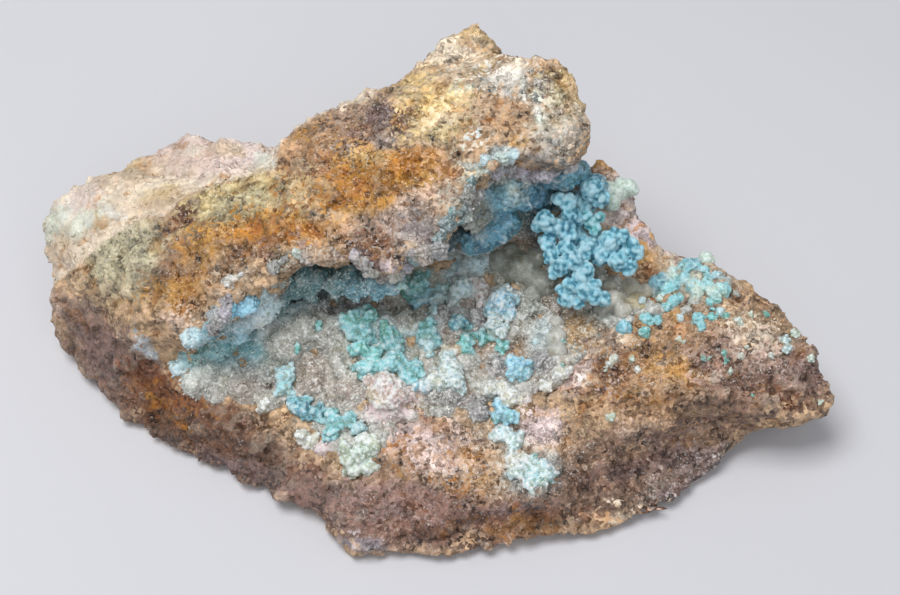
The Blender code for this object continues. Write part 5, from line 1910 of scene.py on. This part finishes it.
# Lobed balls of aurichalcite on the hollow's floor.
FLOOR_BALLS = lobed([
    *seen(JADE, [(-4, 1.2, 1.7)], -0.3),
    *seen(MINT, [(-5.2, 1.9, 1)], -0.3),
    *seen(JADE, [(-5, 0.4, 0.8), (-12.2, -2.6, 1.1), (-10, -2.3, 1), (-11.2, -6.2, 1), (-7.7, -4.4, 1.1),
        (-9.2, -6.9, 0.8), (-10.9, -8.9, 1), (-2.8, -4.2, 0.9), (1.9, -5.4, 0.8), (2, -6.4, 0.8),
        (4.2, -5.1, 0.8), (3, -4.9, 0.6), (6.4, -6.1, 0.7), (-16.4, -3.4, 0.4), (-19, -6.4, 0.4)], -0.3),
    *seen(SKY, [(-3, 0, 1.5)], -0.3),
    *seen(AQUA, [(-11.3, -3.9, 1.2), (-10.5, -4.7, 1), (-12.7, -3.6, 0.7), (-6.6, -5.9, 1),
        (-7.5, -6.1, 0.6), (-6.8, -8, 1.4), (-9.6, -8.9, 0.9), (-2.8, -4.6, 1.4), (-5, -9.8, 1.4),
        (-4, -8.7, 0.8), (-14.6, -14.6, 0.9), (-13.9, -15.5, 1), (-14.8, -16.8, 1), (-12.4, -15.2, 0.8),
        (-3.4, 2.4, 0.9)], -0.3),
    *seen(TEAL, [(1.2, -3.2, 1.1), (-18.7, -13.6, 1.3), (-16.6, -14.4, 1)], -0.25),
    *seen(ICE, [(-1.8, -0.6, 1.3), (-0.8, 0.8, 1), (-3, -5.9, 1), (-20.4, -9.8, 1.2), (-20.6, -11.2, 1.1),
        (-11.5, -16.4, 0.8)], -0.25),
    *seen(SKY, [(6.5, -14.4, 1.3), (5.8, -15, 0.7), (7.2, -15.1, 0.7), (8.9, -9.2, 1.3), (7.7, -8, 0.8),
        (9.7, -8.4, 0.7)], -0.35),
], 3, 51)
# Sugary rosettes of white, cream and pale blue.
ROSETTES = lobed([
    *seen(SKY, [(6.5, -0.6, 1.9), (7.8, -0.2, 1), (7, 0.8, 0.9), (-3.2, -11, 1)], -0.35),
    *seen(ICE, [(1.4, 1.2, 1.7), (0.4, -0.4, 1), (5.4, -3.6, 1.2), (6.3, -4.4, 1), (0, -9.4, 1.9),
        (0.7, -10.7, 1.3), (8, -18, 1.3), (6.4, -17, 1.2)], -0.15),
    *seen(FROST, [(6.4, -1.9, 1.1), (5, -11.4, 1.1), (7.2, -12.4, 1.5), (8.6, -12.7, 0.8), (-2, -10.6, 1.1),
        (7.8, -20.3, 0.9), (9.4, -20.4, 0.8), (-17.5, -18, 1.2), (-18.5, -17.2, 0.8), (13.8, -9.4, 1.1),
        (12, -11.2, 0.9), (-23.2, -13.6, 0.8)], -0.15),
    *seen(MINT, [(-12.6, -20.2, 1.3), (-11.2, -19.6, 1.3), (-10.3, -21.2, 1.2), (-12, -21.6, 1.1),
        (-9.4, -18.4, 1.1), (-10.8, -17.8, 1), (-13.2, -18.6, 0.8)], 0),
    *seen(BLUSH, [(3.5, 1.4, 1.4), (4, 0, 1.2), (-8.2, -10.8, 1.8), (-7.5, -12.6, 1.6)], -0.2),
    *seen(CREAM, [(-9.3, -12.1, 1.3), (0.4, -10.1, 0.8), (-0.6, -6.5, 0.7), (0.7, -6.6, 0.9)], -0.3),
    *seen(AQUA, [(10.2, -21.2, 1.4), (11.6, -23, 0.9)], 0.35),
    *seen(ICE, [(8.6, -21.8, 1.2), (12, -21.8, 1.3), (10.2, -23.2, 1.2)], 0.35),
], 2, 52)
# The frosted crust along the hollow's lip.
LIP_FROST = [
    *chain((GREY, LILAC, SMOKE), [(-29.6, -4), (-28.4, -2.4), (-27.8, 0.2), (-27, 1.6)], 0.9, 0.7, 0.5, 21),
    *chain((FROST, MINT, CREAM), [(-27.8, 2.4), (-25.6, 2.8)], 0.7, 0.6, 0.4, 22),
    *chain((MINT, GREY, SMOKE), [(-22.4, 3.6), (-20.6, 4.9), (-18.4, 5.6)], 0.7, 0.6, 0.5, 23),
    *chain((GREY, ROSE, SAND), [(-18, 5.4), (-15.4, 5.2), (-13, 5.8)], 0.8, 0.6, 0.45, 24),
    *chain((GREY, TAUPE, LILAC, HAZE), [(-12.2, 5.2), (-10.6, 4.2), (-9.2, 3), (-7.4, 2.4), (-5.8, 3),
        (-5, 4.4)], 0.8, 0.5, 0.1, 25),
    *chain((GREY, LAGOON, TAUPE), [(-4.8, 5.2), (-3, 5.2), (-1.4, 6.2), (-0.8, 8.2), (0.2, 9.8)], 0.85, 0.5,
        0.15, 27),
    *chain((GREY, SMOKE, LAGOON), [(0.4, 10.4), (1.6, 11.6), (2.2, 13.2), (2.8, 15)], 0.75, 0.5, 0.3, 29),
    *chain((HAZE, MINT, CREAM), [(2.4, 16.6), (3.6, 15.6), (5, 15.6)], 0.7, 0.6, 0.45, 30),
    *chain((ICE, MINT), [(4.8, 17.2), (6.8, 17.6), (8.8, 17.8)], 0.75, 0.6, 0.5, 31),
    *chain((GREY, LILAC, SMOKE), [(6, 16), (8.4, 15.6), (11, 15.2), (13.6, 15.4), (16, 16.4)], 0.9, 0.6,
        0.25, 32),
]
# The coral-like cluster stands clear of the wall on a short trunk: three boughs of small knobs.
CLUSTER = [
    *balls(CORAL, [(17, 12, 1.9, -4), (15.5, 9.5, 1.7, -4), (16.5, 7, 1.9, -4.5), (19, 6.5, 1.7, -4),
        (16.5, 3.5, 1.8, -4), (12.2, 9.9, 1.3, -1.8), (13.6, 9, 1.1, -2.5), (15, 12.1, 1.1, -1),
        (15.3, 10.8, 1.1, -1), (13.9, 12.6, 0.8, -1.2), (11.4, 9.2, 0.8, -1.8), (18.2, 13.8, 1.5, -1),
        (19.3, 12.6, 1.2, -1.5), (20.4, 7.2, 1.3, -1.5), (22, 7.7, 1, -1.5), (19.3, 5.3, 1.3, -2),
        (21.6, 4.6, 1.3, -1.5), (23.7, 5.8, 1, -1.5), (22.8, 3.9, 1, -1.5), (21, 8.3, 0.8, -1.4),
        (23.2, 6.8, 0.7, -1.4), (17.4, 5.9, 1.3, -2), (14.8, 6.2, 1.1, -1.5), (12.9, 5.2, 1, -1.5),
        (14, 3.9, 1.1, -1), (15.7, 4.7, 1.1, -1), (17.2, 3.4, 1.1, -1.5), (12.4, 6.4, 0.8, -1.6),
        (13.2, 3.2, 0.7, -1.2), (16.6, 2.4, 1.1, -1), (15.2, 1.4, 1.1, -1), (14.8, -0.2, 1, -1.5),
        (17.2, 0.8, 1.2, -1), (18.4, 0.3, 1.1, -1), (19.6, -0.2, 0.9, -1.2), (16.4, -0.5, 0.9, -1.5),
        (18.4, 1.6, 0.7, -0.9), (14.2, 0.8, 0.7, -1.2), (21.9, 6.2, 1, -2.4)]),
    *balls(TEAL, [(12.5, 7.3, 1, -2.5), (15.2, 7.8, 1.1, -2), (15, 9, 1, -2), (16, 10.2, 1.1, -2.2),
        (12.8, 8.4, 0.9, -2), (20.2, 5.9, 0.9, -1.8)]),
    *balls(JADE, [(18, 9.6, 1, -3), (18.7, 8.7, 0.7, -2.4), (17.5, 10.3, 0.6, -2.2),
        (19.2, 10.3, 0.5, -2.2)]),
]
# Thin pale plates on the arm, and the single balls scattered round them and over the front.
ARM_PLATES = [
    *seen(CORAL, [(25.8, 1.6, 1.2), (26.6, 2.3, 0.9), (29.4, 3.7, 1.1), (30.3, 4.1, 0.9), (21.7, -3.8, 1.1)],
        0.2),
    *seen(AQUA, [(27.2, 0.9, 1.1), (28, 1.5, 0.9), (31.7, 3.2, 0.8), (32, 2.2, 0.8), (32.2, 1.4, 0.7),
        (33.9, 0.8, 1.2), (31, -2.8, 1), (31.4, -3.6, 0.6), (27, -1.3, 0.8), (27.8, -0.6, 0.8),
        (28.5, 0, 0.6), (24.7, -2.9, 1.1), (26, -2.8, 0.7), (32.5, -0.6, 0.6), (32.7, -1.3, 0.5),
        (29.2, 2.6, 0.8)], 0.2),
    *seen(MINT, [(30.4, 1.4, 1.2), (30.8, 0.6, 0.9), (32, 4.7, 1.1), (28, 3, 0.9), (33.4, 4.2, 1),
        (26.3, -0.3, 0.8), (34.6, 3.2, 0.8)], 0.2),
    *seen(JADE, [(32.6, -2.6, 0.8), (24.2, -4.4, 0.8), (33.2, -0.2, 0.8)], 0.25),
    *seen(ICE, [(31, 3.6, 0.8), (29.6, 1.8, 0.7), (33.4, 2.6, 0.8), (28.6, -2.6, 0.6), (33.8, -1.8, 0.6),
        (24, -0.4, 0.6)], 0.35),
    *seen(HAZE, [(30.6, -0.6, 0.8), (29.4, -1.6, 0.7), (34.6, 1.8, 0.7), (35.6, 0.4, 0.6), (27.4, 2.2, 0.7),
        (25.4, 0.4, 0.7)], 0.4),
]
SINGLE_BALLS = [
    *seen(MINT, [(28.6, -5.3, 0.6), (29.1, -5.7, 0.5), (36, -3, 0.7), (37.5, -2.2, 0.5), (35, -9.2, 0.5),
        (36.8, -6.3, 0.35), (46.1, -13.1, 0.4), (20, -15, 0.6), (20.4, -14.6, 0.4), (22.7, -7.7, 0.5),
        (43, -4.6, 0.8), (45, -7.6, 0.5), (19.4, -9, 0.4)], 0.2),
    *seen(JADE, [(34.2, -6.9, 0.5), (34.5, -7.8, 0.5), (31.5, -7.6, 0.4), (32.2, -7.7, 0.4),
        (34.5, -2.3, 0.6), (39.4, -2.2, 0.5), (37.7, -12.3, 0.35), (13.9, -8.7, 0.5), (12.2, -11.5, 0.3),
        (14, -5.4, 0.3)], 0.15),
    *seen(FROST, [(36.3, -7.3, 0.6), (40, -7.3, 0.5), (20.5, -7.6, 0.7), (20, -8.3, 0.6), (23.4, -9, 0.5)],
        0.2),
    *seen(ICE, [(41.8, -5.4, 0.8), (42, -6.4, 0.7)], 0.1),
]
# The pale knob that shows beyond the right wall.
WALL_KNOB = seen(MINT, [
    (22.2, 13.7, 1.2, -7.5), (21, 13.2, 1.3, -7.8), (19.8, 13.2, 1.5, -8), (21.2, 14.3, 0.8, -7.5),
    (22.9, 13.3, 0.7, -7.5), (20.2, 11.8, 1.2, -7.8),
])


def inside(polygon: Sequence[Spot], x: float, y: float) -> bool:
    """Whether a point lies within the closed polygon.

    Args:
        polygon: Its corners.
        x: The point's first place.
        y: The point's second place.

    Returns:
        Whether it does.
    """
    within = False
    for i, (x1, y1) in enumerate(polygon):
        x0, y0 = polygon[i - 1]
        if (y0 > y) != (y1 > y) and x < x0 + (x1 - x0) * (y - y0) / (y1 - y0):
            within = not within
    return within


@dataclass
class DruseLining:
    """The low mounds that line the hollow's floor and the wall beneath its lip."""

    floor_pitch: float = 1.9  # mm
    wall_pitch: float = 1.6  # mm
    row_share: float = 0.87  # of the floor's pitch between its rows
    radius: float = 1.6  # mm
    floor_sizes: Spot = (0.6, 1.15)  # least and most share of the radius on the floor
    wall_sizes: Spot = (0.6, 1.2)  # and on the wall
    sunk: float = 0.5  # share of its radius that each mound is sunk by
    wall_sunk: float = 0.6  # share of that on the wall
    spread: float = 0.45  # mm, how far each strays from its row
    lowest: float = 4.0  # mm above the floor, beneath which there are none

    def mounds(self, ground: Ground) -> list[tuple[Vector, float]]:
        """The mounds as centres and radii in metres.

        Args:
            ground: What they sit on.

        Returns:
            The mounds of the floor and the wall.
        """
        chance = random.Random(11)
        made = []
        for row, step in itertools.product(range(-13, 11), range(-20, 16)):
            across = (step + 0.5 * (row % 2)) * self.floor_pitch + chance.uniform(-self.spread, self.spread)
            up = row * self.floor_pitch * self.row_share + chance.uniform(-self.spread, self.spread)
            radius = self.radius * chance.uniform(*self.floor_sizes) * MM
            hit = ground.below(across, up, 2)
            if hit is not None and hit.z > self.lowest * MM and inside(HOLLOW_AREA, across, up):
                made.append((hit - FACE.normal * self.sunk * radius, radius))
        for step, proud in itertools.product(range(-17, 11), (-6, -4, -2, 0)):
            across = step * self.wall_pitch + chance.uniform(-self.spread, self.spread)
            radius = self.radius * chance.uniform(*self.wall_sizes) * MM
            hit = ground.met(FACE.point(across, -6, proud), FACE.slope)
            if hit is not None and inside(WALL_AREA, across, proud):
                made.append((hit - FACE.slope * self.wall_sunk * self.sunk * radius, radius))
        return made


@dataclass(frozen=True)
class Lamp:
    """One square soft light that looks at the specimen."""

    name: str
    place: tuple[float, float, float]  # m
    size: float  # m
    power: float  # W
    aim: tuple[float, float, float] = (0, 0, 0.015)  # m

    def build(self) -> None:
        """Hangs it."""
        data = bpy.data.lights.new(self.name, "AREA")
        data.size, data.energy = self.size, self.power
        lamp = new_object(self.name, data)
        lamp.location = self.place
        lamp.rotation_mode = "QUATERNION"
        lamp.rotation_quaternion = (Vector(self.aim) - Vector(self.place)).to_track_quat("-Z", "Y")


@dataclass
class Studio:
    """The plain floor, the soft light and the camera."""

    floor_size: float = 4.0  # m
    distance: float = 0.190  # m from the face
    lens: float = 60.0  # mm
    sensor: float = 36.0  # mm
    lamps: tuple = (Lamp("key", (-0.16, -0.03, 0.55), 0.30, 2.6),
                    Lamp("fill", (0.10, -0.45, 0.45), 0.5, 0.95))
    sky: float = 0.36
    sky_tint: Colour = (0.92, 0.95, 1.0)

    def build(self, effects: Effects) -> None:
        """Makes them all.

        Args:
            effects: The shader node groups.
        """
        self._floor(effects)
        self._camera()
        for lamp in self.lamps:
            lamp.build()
        world = bpy.data.worlds.new("studio")
        world.use_nodes = True
        tree = Wiring(world.node_tree)
        tree.feed(tree.tree.nodes["Background"], {"Color": rgba(self.sky_tint), "Strength": self.sky})
        bpy.context.scene.world = world

    def _floor(self, effects: Effects) -> None:
        """The floor, just under the rock's flat base.

        Args:
            effects: The shader node groups.
        """
        bm = bmesh.new()
        bmesh.ops.create_grid(bm, x_segments=1, y_segments=1, size=self.floor_size / 2)
        floor = new_object("floor", mesh_of("floor", bm))
        floor.data.materials.append(FloorFinish().material(effects))
        floor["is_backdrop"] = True

    def _camera(self) -> None:
        """The camera, looking straight at the face."""
        data = bpy.data.cameras.new("camera")
        data.lens, data.sensor_width, data.clip_start = self.lens, self.sensor, 0.001
        camera = new_object("camera", data)
        camera.location = FACE.point(0, 0) + FACE.normal * self.distance
        camera.rotation_mode = "QUATERNION"
        camera.rotation_quaternion = (-FACE.normal).to_track_quat("-Z", "Y")
        bpy.context.scene.camera = camera


# The finishes of the crusts that are druse, or frosted like it.
DRUSES = (
    DruseFinish(),
    DruseFinish("sugary rosettes", grain=0.3, relief=0.09, frost_and_highlight=0.55),
    DruseFinish("frosted lip", grain=0.34, frost_and_highlight=0.12, specks=0.3),
    DruseFinish("druse crystals", grain=0.3, relief=0.04, gloss=(0.06, 0.35), subsurface=0.5, frost_and_highlight=0.5,
                specks=0.6),
    DruseFinish("aurichalcite balls", grain=0.28, relief=0.08, gloss=(0.25, 0.6), subsurface=0.4,
                frost_and_highlight=0.3, specks=0.35),
    DruseFinish("milky lumps", relief=0.04, gloss=(0.3, 0.5), subsurface=0.6, reach=1.4, spread=0.12,
                frost_and_highlight=0.15, specks=0.12),
    DruseFinish("frosted masses", grain=0.3, relief=0.08, gloss=(0.18, 0.5), subsurface=0.35, spread=0.6,
                frost_and_highlight=0.6, specks=0.12),
)
LINING = Crust("hollow_druse", "hollow_crust", DRUSE_LUMPS, 0.26, evening=2, shards=((1.8, 0.35), (0.8, 0.2)),
               swell=(2.0, 0.3), blend=0.6, stains=DRUSE_STAINS, seed=2)
MILKY = Crust("milky_lumps", "hollow_crust", MILKY_LUMPS, 0.2, evening=3, shards=((1.2, 0.14),),
              swell=(2.0, 0.3), blend=0.8, seed=11)
MASSES = Crust("teal_masses", "hollow_crust", TEAL_MASSES, 0.19, evening=3, shards=((1.0, 0.3), (0.5, 0.14)),
               swell=(1.7, 0.4), blend=0.3, ground=DEEP, seed=3)
FLOOR = Crust("aurichalcite_balls", "hollow_crust", FLOOR_BALLS, 0.15, core=0.86, nodule=0.34, apart=0.5,
              spread=0.5, evening=1, shards=((0.45, 0.12),), swell=(0.6, 0.05), ground=AQUA, seed=4)
SUGARY = Crust("sugary_rosettes", "hollow_crust", ROSETTES, 0.16, core=0.85, nodule=0.26, apart=0.42,
               spread=0.4, evening=1, shards=((0.35, 0.1),), ground=FROST, seed=8)
LIP = Crust("lip_frost", "matrix", LIP_FROST, 0.15, shards=((0.8, 0.42), (0.42, 0.2)), swell=(1.0, 0.12),
            ground=GREY, seed=9)
CORALS = Crust("coral_cluster", "hollow_crust", CLUSTER, 0.115, core=0.86, nodule=0.36, apart=0.55,
               spread=0.4, stretch=0.45, evening=1, swell=(0.5, 0.04), ground=CORAL, seed=5)
PLATES = Crust("arm_plates", "arm_crust", ARM_PLATES, 0.15, evening=1, shards=((0.9, 0.34), (0.45, 0.14)),
               swell=(1.0, 0.15), ground=AQUA, seed=6)
SINGLES = Crust("single_balls", "arm_crust", SINGLE_BALLS, 0.12, core=0.85, nodule=0.22, apart=0.4,
                evening=2, ground=MINT, seed=7)
KNOB = Crust("wall_knob", "hollow_crust", WALL_KNOB, 0.16, evening=2, shards=((0.8, 0.15),),
             swell=(1.2, 0.15), ground=MINT, seed=10)


def corners() -> list[list[float]]:
    """The shown object's lowest and highest corners as plain lists."""
    return [list(map(float, corner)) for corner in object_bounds()]


def main() -> None:
    """Builds every piece in order and reports it."""
    logging.basicConfig(level=logging.INFO, format="%(message)s")
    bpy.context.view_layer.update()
    effects, growth = Effects(), Growth()
    rock = Ground(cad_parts["matrix"])
    stone = RockFinish().material(effects)
    milky, sugary, frosted, glittering, velvety, clear, smooth = [d.material(effects) for d in DRUSES]
    coral = AurichalciteFinish().material(effects)
    matrix = MatrixRock().build(stone)
    SugarGrains().build(growth, matrix, stone)
    druse = LINING.build(rock, growth, milky, DruseLining().mounds(rock))
    DruseCrystals().build(growth, druse, glittering, rock)
    lumps = MILKY.build(Ground(matrix, druse), growth, clear)
    face = Ground(matrix, druse, lumps)
    for crust, ground, finish in ((MASSES, rock, smooth), (FLOOR, face, velvety), (SUGARY, face, sugary),
                                  (LIP, face, frosted), (CORALS, rock, coral), (PLATES, face, frosted),
                                  (SINGLES, face, velvety), (KNOB, face, sugary)):
        crust.build(ground, growth, finish)
    Studio().build(effects)
    bpy.context.scene.view_settings.view_transform = "Standard"


if __name__ == "__main__":
    main()
